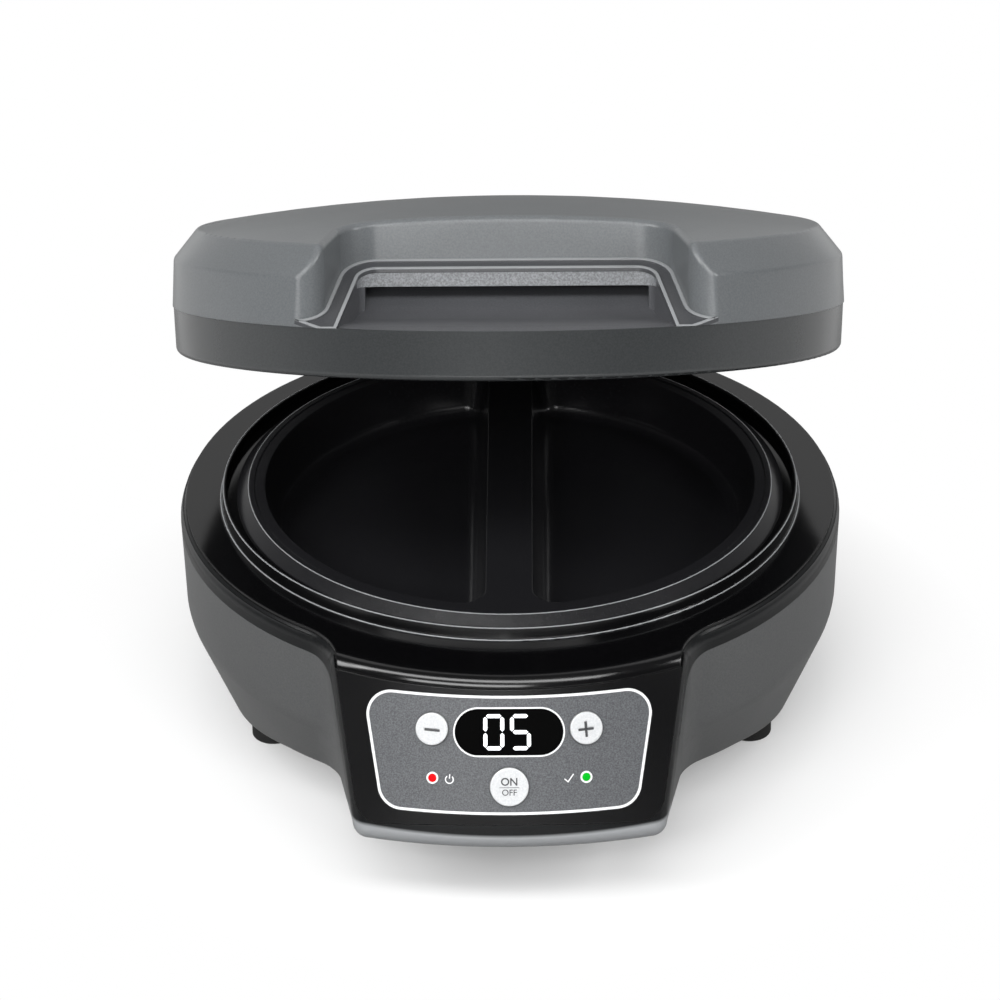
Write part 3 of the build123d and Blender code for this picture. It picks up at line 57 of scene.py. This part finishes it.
def add_node(tree, kind, inputs=None, **settings):
    """Adds a node with its settings, and links or sets its inputs."""
    node = tree.nodes.new(kind)
    for name, value in settings.items():
        setattr(node, name, value)
    for name, value in (inputs or {}).items():
        if isinstance(value, bpy.types.NodeSocket):
            tree.links.new(value, node.inputs[name])
        else:
            node.inputs[name].default_value = value
    return node


def new_finish(name):
    """An empty material tree and its output."""
    finish = bpy.data.materials.new(name)
    finish.use_nodes = True
    finish.node_tree.nodes.clear()
    return finish, finish.node_tree


def grain(tree, size_mm, detail=2.0):
    """A fine even noise whose grains are about the given size, on Object coordinates."""
    place = add_node(tree, "ShaderNodeTexCoord").outputs["Object"]
    return add_node(
        tree, "ShaderNodeTexNoise",
        {"Vector": place, "Scale": 1 / (size_mm * MM), "Detail": detail, "Roughness": 0.6},
    ).outputs["Fac"]


def blended(tree, amount, low, high, spread=(0.35, 0.65)):
    """Two colours mixed by a noise."""
    ramp = add_node(tree, "ShaderNodeValToRGB", {"Fac": amount})
    ramp.color_ramp.elements[0].position, ramp.color_ramp.elements[1].position = spread
    ramp.color_ramp.elements[0].color = colour(low)
    ramp.color_ramp.elements[1].color = colour(high)
    return ramp.outputs["Color"]


def bumped(tree, height, depth_mm, edge_mm):
    """A normal with a fine relief and slightly rounded edges."""
    soft = {}
    if edge_mm:
        soft["Normal"] = add_node(tree, "ShaderNodeBevel", {"Radius": edge_mm * MM}, samples=4).outputs["Normal"]
    return add_node(
        tree, "ShaderNodeBump", {"Height": height, "Distance": depth_mm * MM, "Strength": 1.0, **soft}
    ).outputs["Normal"]


def varied(tree, amount, low, high):
    """A number that wanders between two values with a noise."""
    return add_node(
        tree, "ShaderNodeMapRange", {"Value": amount, "To Min": low, "To Max": high, "From Min": 0.3, "From Max": 0.7}
    ).outputs["Result"]


def finish_output(tree, **sockets):
    """The Principled shader with these sockets, wired to the output."""
    shader = add_node(tree, "ShaderNodeBsdfPrincipled", sockets)
    add_node(tree, "ShaderNodeOutputMaterial", {"Surface": shader.outputs["BSDF"]})


# ---------------------------------------------------------------- finishes
def moulded(name, low, high, rough, grain_mm=0.7, relief_mm=0.012, edge_mm=0.4, patch_mm=60, coat=0.0):
    """Injection-moulded plastic: a spark-eroded grain, and gloss that wanders a little over the part."""
    finish, tree = new_finish(name)
    fine = grain(tree, grain_mm)
    broad = grain(tree, patch_mm, 1.0)
    finish_output(
        tree,
        **{
            "Base Color": blended(tree, fine, low, high),
            "Roughness": varied(tree, broad, rough - 0.03, rough + 0.03),
            "Normal": bumped(tree, fine, relief_mm, edge_mm),
            "IOR": 1.5,
            "Coat Weight": coat,
            "Coat Roughness": 0.12,
        },
    )
    return finish


def make_finishes():
    """Every finish of the cooker, by the part of it that it covers."""
    made = {}
    # Satin ABS in mid grey, with a fine spark-eroded grain: a soft even sheen.
    made["grey_abs"] = moulded("satin_grey_abs", "#5a5d5f", "#646769", 0.3, edge_mm=0.7)
    # The same ABS on the lower body, a little darker.
    made["body_abs"] = moulded("satin_body_abs", "#4b4c4d", "#555656", 0.32, edge_mm=0.2)
    # Nearly black ABS of the lid's band, smoother, so that it shows soft streaks of light.
    made["dark_abs"] = moulded("dark_band_abs", "#303233", "#363839", 0.24, relief_mm=0.002, edge_mm=0)
    made["rim_abs"] = make_rim_plastic()
    # Heat-proof black phenolic of the deck: half gloss, with sharp highlights on its rolls.
    made["black_phenolic"] = moulded(
        "black_phenolic_deck", "#060607", "#09090a", 0.13, grain_mm=0.9, relief_mm=0.001, edge_mm=0.8
    )
    # Black satin ABS of the sloping face.
    made["face_black"] = moulded("black_satin_face", "#070708", "#0c0c0d", 0.24)
    # Silver-grey ABS of the handle's frame: a dark grey groove between two ridges that are painted pale as their
    # highlight.
    made["bezel_grey"] = make_frame_plastic()
    # Dark grey ABS with an open grain in the hand recess.
    made["scoop_grey"] = moulded("recess_grained_abs", "#46474a", "#505154", 0.5, relief_mm=0.02)
    # Grip strip: raised sand texture, paler on its high spots.
    made["grip_grey"] = moulded("sand_texture_grip", "#686a6c", "#8a8c8f", 0.5, grain_mm=0.8, relief_mm=0.05)
    # Printed film with a metallic speckle, drawn coarse enough to show.
    made["label_grey"] = moulded(
        "speckled_label_film", "#434447", "#616366", 0.45, grain_mm=0.55, relief_mm=0.01, edge_mm=0
    )
    # White screen print and light rings.
    made["white_print"] = moulded("white_screen_print", "#e6e7e8", "#eeeeef", 0.35, relief_mm=0.002, edge_mm=0)
    # Pearl-white plastic buttons under a clear lacquer.
    made["button_white"] = moulded(
        "pearl_lacquered_button", "#c6c8ca", "#d4d5d6", 0.3, relief_mm=0.002, edge_mm=0.2, coat=0.4
    )
    # Black tinted acrylic over the display.
    made["display_black"] = moulded("tinted_acrylic", "#010101", "#020202", 0.06, relief_mm=0.0, edge_mm=0)
    # Painted highlight on the deck's and the plate's turned edges: a thin pale line that stands for the light those
    # edges catch.
    made["edge_highlight_paint"] = moulded(
        "painted_edge_highlight", "#8a8c8e", "#929496", 0.2, relief_mm=0.001, edge_mm=0
    )
    made["nonstick"] = make_nonstick()
    made["digit_white"] = make_lit("lit_digit", "#f6f8fb", 1.0)
    made["red_lens"] = make_lit("red_light_guide", "#d00009", 0.3)
    made["green_lens"] = make_lit("green_light_guide", "#009e1b", 0.35)
    # Dark ink of the button marks.
    made["mark_ink"] = moulded("dark_grey_ink", "#3a3b3d", "#434446", 0.5, relief_mm=0.002, edge_mm=0)
    # Glass-filled nylon of the hinge: dark and slightly rough.
    made["hinge_nylon"] = moulded("glass_filled_nylon", "#1d1e1f", "#262728", 0.46, relief_mm=0.02)
    # Soft black rubber of the feet and the cord inlet.
    made["rubber"] = moulded("black_rubber", "#171717", "#1f1f1f", 0.75, relief_mm=0.03)
    # Brown phenolic of the thermostats.
    made["phenolic_brown"] = moulded("brown_phenolic", "#4a3020", "#5c3d28", 0.45)
    # Solder-masked glass-epoxy boards.
    made["circuit_board"] = moulded("green_solder_mask", "#17603c", "#1f6e47", 0.35)
    # Natural nylon posts and the display's housing.
    made["natural_nylon"] = moulded("natural_nylon", "#cdc8b9", "#d9d4c5", 0.5)
    made["steel"] = make_metal("zinc_plated_steel", "#a9abad", "#b9bbbd", 0.32)
    made["sheet_steel"] = make_metal("pressed_zinc_sheet", "#a7a9aa", "#b7b9ba", 0.4)
    made["heater_sheath"] = make_metal("annealed_heater_sheath", "#6b6056", "#80746a", 0.5)
    return made


def make_rim_plastic():
    """Dark ABS of the rim and nose: black on its band, with a painted reflection on the chin's lower roll: a pale grey
    that stands for the table's light reflected there.
    """
    finish, tree = new_finish("dark_rim_abs_painted_chin_reflection")
    fine = grain(tree, 0.7)
    place = add_node(tree, "ShaderNodeSeparateXYZ", {"Vector": add_node(tree, "ShaderNodeTexCoord").outputs["Object"]})
    low = add_node(
        tree, "ShaderNodeMapRange",
        {"Value": place.outputs["Z"], "From Min": 39.4 * MM, "From Max": 38.2 * MM, "To Min": 0.0, "To Max": 1.0},
    )
    # Painted reflection: the chin's roll below about 39 mm is painted pale grey, for the table's light that it
    # reflects.
    shade = add_node(
        tree, "ShaderNodeMix",
        {0: low.outputs["Result"], 6: blended(tree, fine, "#0e0f10", "#141516"), 7: colour("#8f9193")},
        data_type="RGBA",
    )
    finish_output(
        tree,
        **{
            "Base Color": shade.outputs[2],
            "Roughness": varied(tree, grain(tree, 60, 1.0), 0.26, 0.32),
            "Normal": bumped(tree, fine, 0.003, 0.2),
            "IOR": 1.35,
        },
    )
    return finish


GROOVE_MM = 0.7


def make_frame_plastic():
    """ABS of the handle's frame: the ridges are painted pale as their highlight, and the groove between them keeps the
    dark grey.
    """
    finish, tree = new_finish("grey_frame_painted_ridge_highlight")
    fine = grain(tree, 0.6)
    place = add_node(tree, "ShaderNodeTexCoord").outputs["Object"]
    square = add_node(
        tree, "ShaderNodeVectorMath",
        {0: place, 1: frame_normal}, operation="DOT_PRODUCT",
    )
    depth = add_node(
        tree, "ShaderNodeMapRange",
        {
            "Value": square.outputs["Value"], "From Min": frame_level - 0.6 * GROOVE_MM * MM,
            "From Max": frame_level - 0.2 * GROOVE_MM * MM, "To Min": 0.0, "To Max": 1.0,
        },
    )
    # Painted highlight: the face's ridges, above the groove, take a pale grey that stands for the light they catch.
    shade = add_node(
        tree, "ShaderNodeMix",
        {0: depth.outputs["Result"], 6: blended(tree, fine, "#3c3d3f", "#46474a"), 7: colour("#8e9092")},
        data_type="RGBA",
    )
    finish_output(
        tree,
        **{
            "Base Color": shade.outputs[2],
            "Roughness": 0.28,
            "Normal": bumped(tree, fine, 0.003, 0.25),
        },
    )
    return finish


def make_nonstick():
    """Sprayed non-stick coating on a die casting: black, fine orange peel, low gloss with tiny mica flecks."""
    finish, tree = new_finish("sprayed_nonstick_coating")
    peel = grain(tree, 2.2)
    fleck = grain(tree, 0.5, 0.0)
    finish_output(
        tree,
        **{
            "Base Color": blended(tree, fleck, "#19191b", "#202022", (0.5, 0.8)),
            "Roughness": varied(tree, peel, 0.2, 0.25),
            "Normal": bumped(tree, peel, 0.002, 0.8),
            "IOR": 1.5,
        },
    )
    return finish


def make_lit(name, code, strength):
    """Lit light guide: its own colour, glowing evenly under a clear surface."""
    finish, tree = new_finish(name)
    finish_output(
        tree,
        **{
            "Base Color": blended(tree, grain(tree, 1.0), code, code),
            "Roughness": 0.3,
            "Specular IOR Level": 0.15,
            "Emission Color": colour(code),
            "Emission Strength": strength,
        },
    )
    return finish


def make_metal(name, low, high, rough):
    """Plated or annealed metal with a fine rolled variation."""
    finish, tree = new_finish(name)
    fine = grain(tree, 0.8)
    finish_output(
        tree,
        **{
            "Base Color": blended(tree, fine, low, high),
            "Metallic": 1.0,
            "Roughness": varied(tree, grain(tree, 8.0), rough - 0.05, rough + 0.05),
            "Normal": bumped(tree, fine, 0.004, 0.2),
        },
    )
    return finish


def main_face(node):
    """The direction and the level of a node's largest flat face that looks up."""
    mesh = frame["nodes"][node].data
    areas = {}
    for face in mesh.polygons:
        if face.normal.z > 0.5:
            key = tuple(round(n, 2) for n in face.normal)
            areas[key] = areas.get(key, 0) + face.area
    best = max(areas, key=areas.get)
    face = max((f for f in mesh.polygons if tuple(round(n, 2) for n in f.normal) == best), key=lambda f: f.area)
    return face.normal.copy(), face.normal.dot(mesh.vertices[face.vertices[0]].co)


frame_normal, frame_level = main_face("handle_bezel")
finishes = make_finishes()


# ---------------------------------------------------------------- pieces made from the solids
def only(piece):
    """Selects one object alone and makes it active."""
    bpy.ops.object.select_all(action="DESELECT")
    piece.select_set(True)
    bpy.context.view_layer.objects.active = piece


def settle(piece, name, body, finish):
    """Names a finished piece, gives it its finish and lets it ride on its body."""
    piece.name = name
    piece.data.name = name
    piece.data.materials.clear()
    piece.data.materials.append(finishes[finish])
    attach(piece, body)
    return piece


def body_of(node):
    """The body that a node belongs to."""
    groups = frame["record"]["behaviour"]["bodies"]
    return next(body for body, members in groups.items() if node in members)


def slot_of(node):
    """The record's material slot of a node."""
    return next(s["material_slot"] for s in frame["record"]["subparts"] if s["node"] == node)


def dressed(node, finish, smooth=35):
    """A merged and smoothly shaded copy of a node, which stands for it."""
    piece = frame["nodes"][node].copy()
    piece.data = piece.data.copy()
    for key in list(piece.keys()):
        del piece[key]
    piece.parent = None
    bpy.context.scene.collection.objects.link(piece)
    only(piece)
    bpy.ops.mesh.customdata_custom_splitnormals_clear()
    bpy.ops.object.mode_set(mode="EDIT")
    bpy.ops.mesh.select_all(action="SELECT")
    bpy.ops.mesh.remove_doubles(threshold=0.002 * MM)
    bpy.ops.object.mode_set(mode="OBJECT")
    bpy.ops.object.shade_smooth_by_angle(angle=radians(smooth))
    even = piece.modifiers.new("even_normals", "WEIGHTED_NORMAL")
    even.keep_sharp = True
    bpy.ops.object.modifier_apply(modifier=even.name)
    settle(piece, node + "_skin", body_of(node), finish)
    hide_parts(node)
    return piece


SKINS = {
    "base_shell": "body_abs", "rim_frame": "rim_abs", "top_deck": "black_phenolic", "bottom_cover": "dark_abs",
    "rubber_feet": "rubber", "cord_inlet": "rubber", "cover_screws": "steel",
    "control_housing": "face_black", "control_panel": "label_grey", "panel_outline": "white_print",
    "display_bezel": "white_print", "display_window": "display_black", "display_digits": "digit_white",
    "button_minus": "button_white", "button_plus": "button_white", "button_start": "button_white",
    "power_light": "red_lens", "ready_light": "green_lens", "light_rings": "white_print",
    "lower_cooking_plate": "nonstick", "upper_cooking_plate": "nonstick",
    "base_hinge_bracket": "hinge_nylon", "lid_hinge_bracket": "hinge_nylon", "hinge_pin": "steel",
    "hinge_clips": "steel", "bracket_screws": "steel", "lid_screws": "steel",
    "lid_skirt": "dark_abs", "lid_cover": "grey_abs", "handle_bezel": "bezel_grey", "handle_grip": "grip_grey",
    "handle_scoop": "scoop_grey",
}
skins = {node: dressed(node, finish) for node, finish in SKINS.items()}


def cut_groove(piece, margin_mm):
    """Presses a groove into the frame's face, leaving a ridge of the given width along both edges."""
    only(piece)
    bpy.ops.object.mode_set(mode="EDIT")
    bpy.ops.mesh.select_all(action="DESELECT")
    bpy.ops.object.mode_set(mode="OBJECT")
    for face in piece.data.polygons:
        face.select = face.normal.dot(frame_normal) > 0.999 and face.center.dot(frame_normal) > frame_level - 0.1 * MM
    bpy.ops.object.mode_set(mode="EDIT")
    bpy.ops.mesh.select_mode(type="FACE")
    bpy.ops.mesh.dissolve_faces()
    bpy.ops.mesh.inset(thickness=margin_mm * MM, depth=0, use_boundary=True)
    bpy.ops.mesh.inset(thickness=0.25 * MM, depth=-GROOVE_MM * MM, use_boundary=True)
    bpy.ops.object.mode_set(mode="OBJECT")
    bpy.ops.object.shade_smooth_by_angle(angle=radians(30))


cut_groove(skins["handle_bezel"], 1.3)


def even_roll(piece, radius_mm, ahead_mm):
    """Gives the deck's turned front roll the exact normals of its form, where the mesh alone would shade unevenly."""
    mesh = piece.data
    top = max(v.co.z for v in mesh.vertices if v.co.y < -ahead_mm * MM)
    zone = [v.co for v in mesh.vertices if v.co.y < -ahead_mm * MM and top - 0.6 * radius_mm * MM < v.co.z < top - 0.1 * MM]
    axis = sorted(
        v.xy.length - (max((radius_mm * MM) ** 2 - (v.z - top + radius_mm * MM) ** 2, 0)) ** 0.5 for v in zone
    )
    middle = axis[len(axis) // 2]
    normals = [Vector(n.vector) for n in mesh.corner_normals]
    for face in mesh.polygons:
        if face.normal.z < 0.3 or face.center.y > -ahead_mm * MM * 0.8:
            continue
        for corner in face.loop_indices:
            spot = mesh.vertices[mesh.loops[corner].vertex_index].co
            if spot.z < top - 0.7 * radius_mm * MM:
                continue
            out = max(spot.xy.length - middle, 0)
            rise = max((radius_mm * MM) ** 2 - out**2, 0) ** 0.5
            flat = Vector((spot.x, spot.y, 0)).normalized()
            normals[corner] = (flat * out + Vector((0, 0, rise))).normalized()
    mesh.normals_split_custom_set(normals)


even_roll(skins["top_deck"], 7.0, 128)


def edge_bead(name, radius_mm, height_mm, width_mm):
    """A fine pale bead that runs round a turned edge of the deck or the plate: a painted highlight on that edge."""
    bpy.ops.object.select_all(action="DESELECT")
    bpy.ops.mesh.primitive_circle_add(vertices=10, radius=width_mm * MM / 2, location=(0, 0, 0))
    bead = bpy.context.active_object
    bead.data.transform(Matrix.Rotation(pi / 2, 4, "X"))
    bead.data.transform(Matrix.Translation((radius_mm * MM, 0, height_mm * MM)))
    bpy.ops.object.mode_set(mode="EDIT")
    bpy.ops.mesh.select_all(action="SELECT")
    bpy.ops.mesh.spin(steps=180, angle=2 * pi, center=(0, 0, 0), axis=(0, 0, 1))
    bpy.ops.mesh.select_all(action="SELECT")
    bpy.ops.mesh.remove_doubles(threshold=0.001 * MM)
    bpy.ops.mesh.normals_make_consistent(inside=False)
    bpy.ops.object.mode_set(mode="OBJECT")
    bpy.ops.object.shade_smooth()
    return settle(bead, name, "base", "edge_highlight_paint")


# Painted highlights: pale beads on the ring's top and foot and on the plate's rim.
edge_bead("ring_top_highlight_bead", 117.0, 99.0, 0.55)
edge_bead("ring_foot_highlight_bead", 118.2, 94.25, 0.6)
edge_bead("plate_rim_highlight_bead", 106.8, 99.1, 0.5)

for node, cad_piece in frame["nodes"].items():
    if node not in SKINS:
        cad_piece.material_slots[0].material = finishes[slot_of(node)]


# ---------------------------------------------------------------- marks on the control face
start_axis = Vector(next(j for j in frame["joints"] if j["name"] == "start_press")["axis"])
face_rise = -start_axis.z
face_run = start_axis.y


def face_frame(node, lift_mm):
    """A matrix that stands on the control face over a node: X across, Y up the slope, Z outwards."""
    low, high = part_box(node)
    middle = (low + high) / 2
    turn = atan2(middle.x, -middle.y)
    outwards = Vector((face_run * sin(turn), -face_run * cos(turn), face_rise))
    across = Vector((cos(turn), sin(turn), 0))
    mesh = frame["nodes"][node].data
    top = max(v.co.dot(outwards) for v in mesh.vertices)
    origin = middle + outwards * (top + lift_mm * MM - middle.dot(outwards))
    return Matrix((across, outwards.cross(across), outwards)).transposed().to_4x4(), origin


def stand(piece, node, lift_mm, shift_mm=(0, 0)):
    """Turns a piece drawn flat at the origin onto the control face over a node."""
    turned, origin = face_frame(node, lift_mm)
    piece.data.transform(Matrix.Translation(Vector((shift_mm[0], shift_mm[1], 0)) * MM))
    piece.data.transform(Matrix.Translation(origin) @ turned)
    return piece


def flat_text(words, height_mm, thick_mm, bold_mm):
    """Words drawn flat at the origin, as a mesh."""
    bpy.ops.object.select_all(action="DESELECT")
    bpy.ops.object.text_add(location=(0, 0, 0))
    written = bpy.context.active_object
    written.data.body = words
    written.data.size = height_mm * MM * 1.38
    written.data.align_x = "CENTER"
    written.data.align_y = "CENTER"
    written.data.extrude = thick_mm * MM / 2
    written.data.offset = bold_mm * MM
    bpy.ops.object.convert(target="MESH")
    return bpy.context.active_object


def flat_bar(length_mm, width_mm, thick_mm, turn=0.0, centre_mm=(0, 0)):
    """A bar with rounded corners, drawn flat at the origin."""
    bpy.ops.object.select_all(action="DESELECT")
    bpy.ops.mesh.primitive_cube_add(size=1, location=(0, 0, 0))
    bar = bpy.context.active_object
    bar.data.transform(Matrix.Diagonal((length_mm * MM, width_mm * MM, thick_mm * MM, 1)))
    bpy.ops.object.mode_set(mode="EDIT")
    bpy.ops.mesh.select_all(action="SELECT")
    bpy.ops.mesh.bevel(offset=min(width_mm, thick_mm) * MM * 0.3, segments=3, affect="EDGES")
    bpy.ops.object.mode_set(mode="OBJECT")
    bar.data.transform(Matrix.Rotation(turn, 4, "Z"))
    bar.data.transform(Matrix.Translation(Vector((*centre_mm, 0)) * MM))
    return bar


def flat_arc(radius_mm, width_mm, thick_mm, gap):
    """An open ring of square section, drawn flat at the origin, with its gap at the top."""
    bpy.ops.object.select_all(action="DESELECT")
    bpy.ops.mesh.primitive_cube_add(size=1, location=(0, 0, 0))
    arc = bpy.context.active_object
    arc.data.transform(Matrix.Diagonal((width_mm * MM, 0.01 * MM, thick_mm * MM, 1)))
    arc.data.transform(Matrix.Translation((radius_mm * MM, 0, 0)))
    arc.data.transform(Matrix.Rotation(pi / 2 + gap / 2, 4, "Z"))
    only(arc)
    bpy.ops.object.mode_set(mode="EDIT")
    bpy.ops.mesh.select_all(action="DESELECT")
    bpy.ops.object.mode_set(mode="OBJECT")
    ahead = Vector((-sin(pi / 2 + gap / 2), cos(pi / 2 + gap / 2), 0))
    for face in arc.data.polygons:
        face.select = face.normal.dot(ahead) > 0.9
    bpy.ops.object.mode_set(mode="EDIT")
    bpy.ops.mesh.spin(steps=48, angle=gap - 2 * pi, center=(0, 0, 0), axis=(0, 0, 1))
    bpy.ops.mesh.select_all(action="SELECT")
    bpy.ops.mesh.remove_doubles(threshold=0.001 * MM)
    bpy.ops.mesh.normals_make_consistent(inside=False)
    bpy.ops.object.mode_set(mode="OBJECT")
    return arc


def joined(pieces):
    """Several pieces as one."""
    bpy.ops.object.select_all(action="DESELECT")
    for piece in pieces:
        piece.select_set(True)
    bpy.context.view_layer.objects.active = pieces[0]
    bpy.ops.object.join()
    return bpy.context.active_object


INK = 0.16
# The two side buttons' marks are inlays that fill the recesses in their caps.
minus_mark = stand(flat_bar(6.0, 0.95, 0.3), "button_minus", -0.08)
settle(minus_mark, "minus_inlay", "button_minus", "mark_ink")
plus_mark = joined([flat_bar(6.0, 0.95, 0.3), flat_bar(6.0, 0.95, 0.3, pi / 2)])
settle(stand(plus_mark, "button_plus", -0.08), "plus_inlay", "button_plus", "mark_ink")

start_marks = [
    stand(flat_text("ON", 3.0, INK, 0.07), "button_start", 0, (0, 2.1)),
    stand(flat_bar(7.6, 0.22, INK), "button_start", 0),
    stand(flat_text("OFF", 2.4, INK, 0.02), "button_start", 0, (0, -2.0)),
]
settle(joined(start_marks), "start_button_print", "button_start", "mark_ink")

power_symbol = joined([
    flat_arc(1.5, 0.42, INK, radians(80)),
    flat_bar(1.7, 0.42, INK, pi / 2, (0, 1.2)),
])
settle(stand(power_symbol, "power_light", -0.5, (6.6, 0)), "power_symbol", "base", "white_print")
check_mark = joined([
    flat_bar(1.9, 0.45, INK, radians(-45), (-1.2, -0.5)),
    flat_bar(3.8, 0.45, INK, radians(50), (0.55, 0.25)),
])
settle(stand(check_mark, "ready_light", -0.5, (-6.6, 0)), "ready_symbol", "base", "white_print")


# ---------------------------------------------------------------- floor, light and camera
def make_floor():
    """A wide pale floor that keeps the cooker's soft shadow."""
    bpy.ops.object.select_all(action="DESELECT")
    bpy.ops.mesh.primitive_plane_add(size=12, location=(0, 0, 0))
    floor = bpy.context.active_object
    floor.name = "floor"
    floor.data.transform(Matrix.Translation((0, 2, 0)))
    paper, tree = new_finish("white_paper_sweep")
    path = add_node(tree, "ShaderNodeLightPath")
    place = add_node(tree, "ShaderNodeSeparateXYZ", {"Vector": add_node(tree, "ShaderNodeTexCoord").outputs["Object"]})
    aside = add_node(tree, "ShaderNodeMath", {0: place.outputs["X"]}, operation="ABSOLUTE")
    card = add_node(
        tree, "ShaderNodeMapRange",
        {"Value": aside.outputs[0], "From Min": 0.27, "From Max": 0.3, "To Min": 0.05, "To Max": 0.8},
    )
    tone = add_node(
        tree, "ShaderNodeMix",
        {0: path.outputs["Is Camera Ray"], 6: colour("#9a9a9a"), 7: colour("#f6f6f6")}, data_type="RGBA",
    )
    lit = add_node(tree, "ShaderNodeBsdfDiffuse", {"Color": tone.outputs[2]})
    glow = add_node(tree, "ShaderNodeEmission", {"Color": colour("#ffffff"), "Strength": 1.0})
    glossy = add_node(
        tree, "ShaderNodeMath", {0: path.outputs["Is Glossy Ray"], 1: card.outputs["Result"]}, operation="MULTIPLY"
    )
    reach = add_node(
        tree, "ShaderNodeVectorMath", {0: add_node(tree, "ShaderNodeTexCoord").outputs["Object"]}, operation="LENGTH"
    )
    clean = add_node(
        tree, "ShaderNodeMapRange",
        {"Value": reach.outputs["Value"], "From Min": 0.13, "From Max": 0.21, "To Min": 0.25, "To Max": 1.0},
    )
    seen = add_node(
        tree, "ShaderNodeMath", {0: path.outputs["Is Camera Ray"], 1: clean.outputs["Result"]}, operation="MULTIPLY"
    )
    share = add_node(tree, "ShaderNodeMath", {0: seen.outputs[0], 1: glossy.outputs[0]}, operation="MAXIMUM")
    mixed = add_node(
        tree, "ShaderNodeMixShader", {0: share.outputs[0], 1: lit.outputs["BSDF"], 2: glow.outputs["Emission"]}
    )
    add_node(tree, "ShaderNodeOutputMaterial", {"Surface": mixed.outputs["Shader"]})
    floor.data.materials.append(paper)


def make_world():
    """White where it is looked at, and a quiet even fill for the object."""
    world = bpy.data.worlds.new("studio")
    world.use_nodes = True
    bpy.context.scene.world = world
    tree = world.node_tree
    tree.nodes.clear()
    path = add_node(tree, "ShaderNodeLightPath")
    way = add_node(tree, "ShaderNodeSeparateXYZ", {"Vector": add_node(tree, "ShaderNodeTexCoord").outputs["Generated"]})
    behind = add_node(
        tree, "ShaderNodeMapRange",
        {"Value": way.outputs["Y"], "From Min": 0.2, "From Max": 0.8, "To Min": 0.08, "To Max": 0.6},
    )
    above = add_node(
        tree, "ShaderNodeMapRange",
        {"Value": way.outputs["Z"], "From Min": 0.6, "From Max": 0.95, "To Min": 0.0, "To Max": 0.08},
    )
    glow = add_node(tree, "ShaderNodeMath", {0: behind.outputs["Result"], 1: above.outputs["Result"]}, operation="ADD")
    fill = add_node(tree, "ShaderNodeBackground", {"Color": colour("#ffffff"), "Strength": glow.outputs[0]})
    white = add_node(tree, "ShaderNodeBackground", {"Color": colour("#ffffff"), "Strength": 1.0})
    mixed = add_node(
        tree, "ShaderNodeMixShader",
        {0: path.outputs["Is Camera Ray"], 1: fill.outputs["Background"], 2: white.outputs["Background"]},
    )
    add_node(tree, "ShaderNodeOutputWorld", {"Surface": mixed.outputs["Shader"]})


def make_lamp(name, place, aim, size, watts):
    """A soft box at a place, turned to its aim."""
    data = bpy.data.lights.new(name, "AREA")
    data.shape = "RECTANGLE"
    data.size, data.size_y = size
    data.energy = watts
    lamp = bpy.data.objects.new(name, data)
    bpy.context.scene.collection.objects.link(lamp)
    lamp.location = place
    lamp.rotation_euler = (Vector(aim) - Vector(place)).to_track_quat("-Z", "Y").to_euler()


def make_camera():
    """The photograph's view: 30 degrees down, from 1.76 m, with a long lens and a slight roll."""
    target = Vector((0, 0, 94 * MM))
    distance, down, side, roll = 1.758, radians(29.91), radians(0.48), radians(0.59)
    ahead = Vector((-sin(side) * cos(down), cos(side) * cos(down), -sin(down)))
    right = ahead.cross(Vector((0, 0, 1))).normalized()
    up = right.cross(ahead)
    right, up = right * cos(roll) - up * sin(roll), right * sin(roll) + up * cos(roll)
    data = bpy.data.cameras.new("camera")
    data.sensor_width, data.lens = 36, 154.5
    data.shift_x, data.shift_y = -0.0099, -0.0117
    camera = bpy.data.objects.new("camera", data)
    bpy.context.scene.collection.objects.link(camera)
    turn = Matrix((right, up, -ahead)).transposed().to_4x4()
    camera.matrix_world = Matrix.Translation(target - ahead * distance) @ turn
    bpy.context.scene.camera = camera


make_floor()
make_world()
make_lamp("front_strip", (-0.2, -0.95, 1.6), (0, 0, 0.12), (2.0, 0.4), 21)
make_lamp("top_softbox", (0, 0.35, 1.6), (0, 0, 0.1), (1.4, 0.6), 2)
make_lamp("left_softbox", (-1.4, -0.7, 1.25), (0, 0, 0.12), (0.7, 0.7), 14)
make_lamp("right_softbox", (1.4, -0.6, 1.1), (0, 0, 0.12), (0.5, 0.7), 12)
make_lamp("front_fill", (-0.35, -1.5, 1.0), (0, 0, 0.14), (1.0, 0.35), 11)
make_lamp("low_front", (0, -1.7, 0.08), (0, 0, 0.12), (1.8, 0.15), 5)
make_camera()
bpy.context.scene.view_settings.view_transform = "Standard"
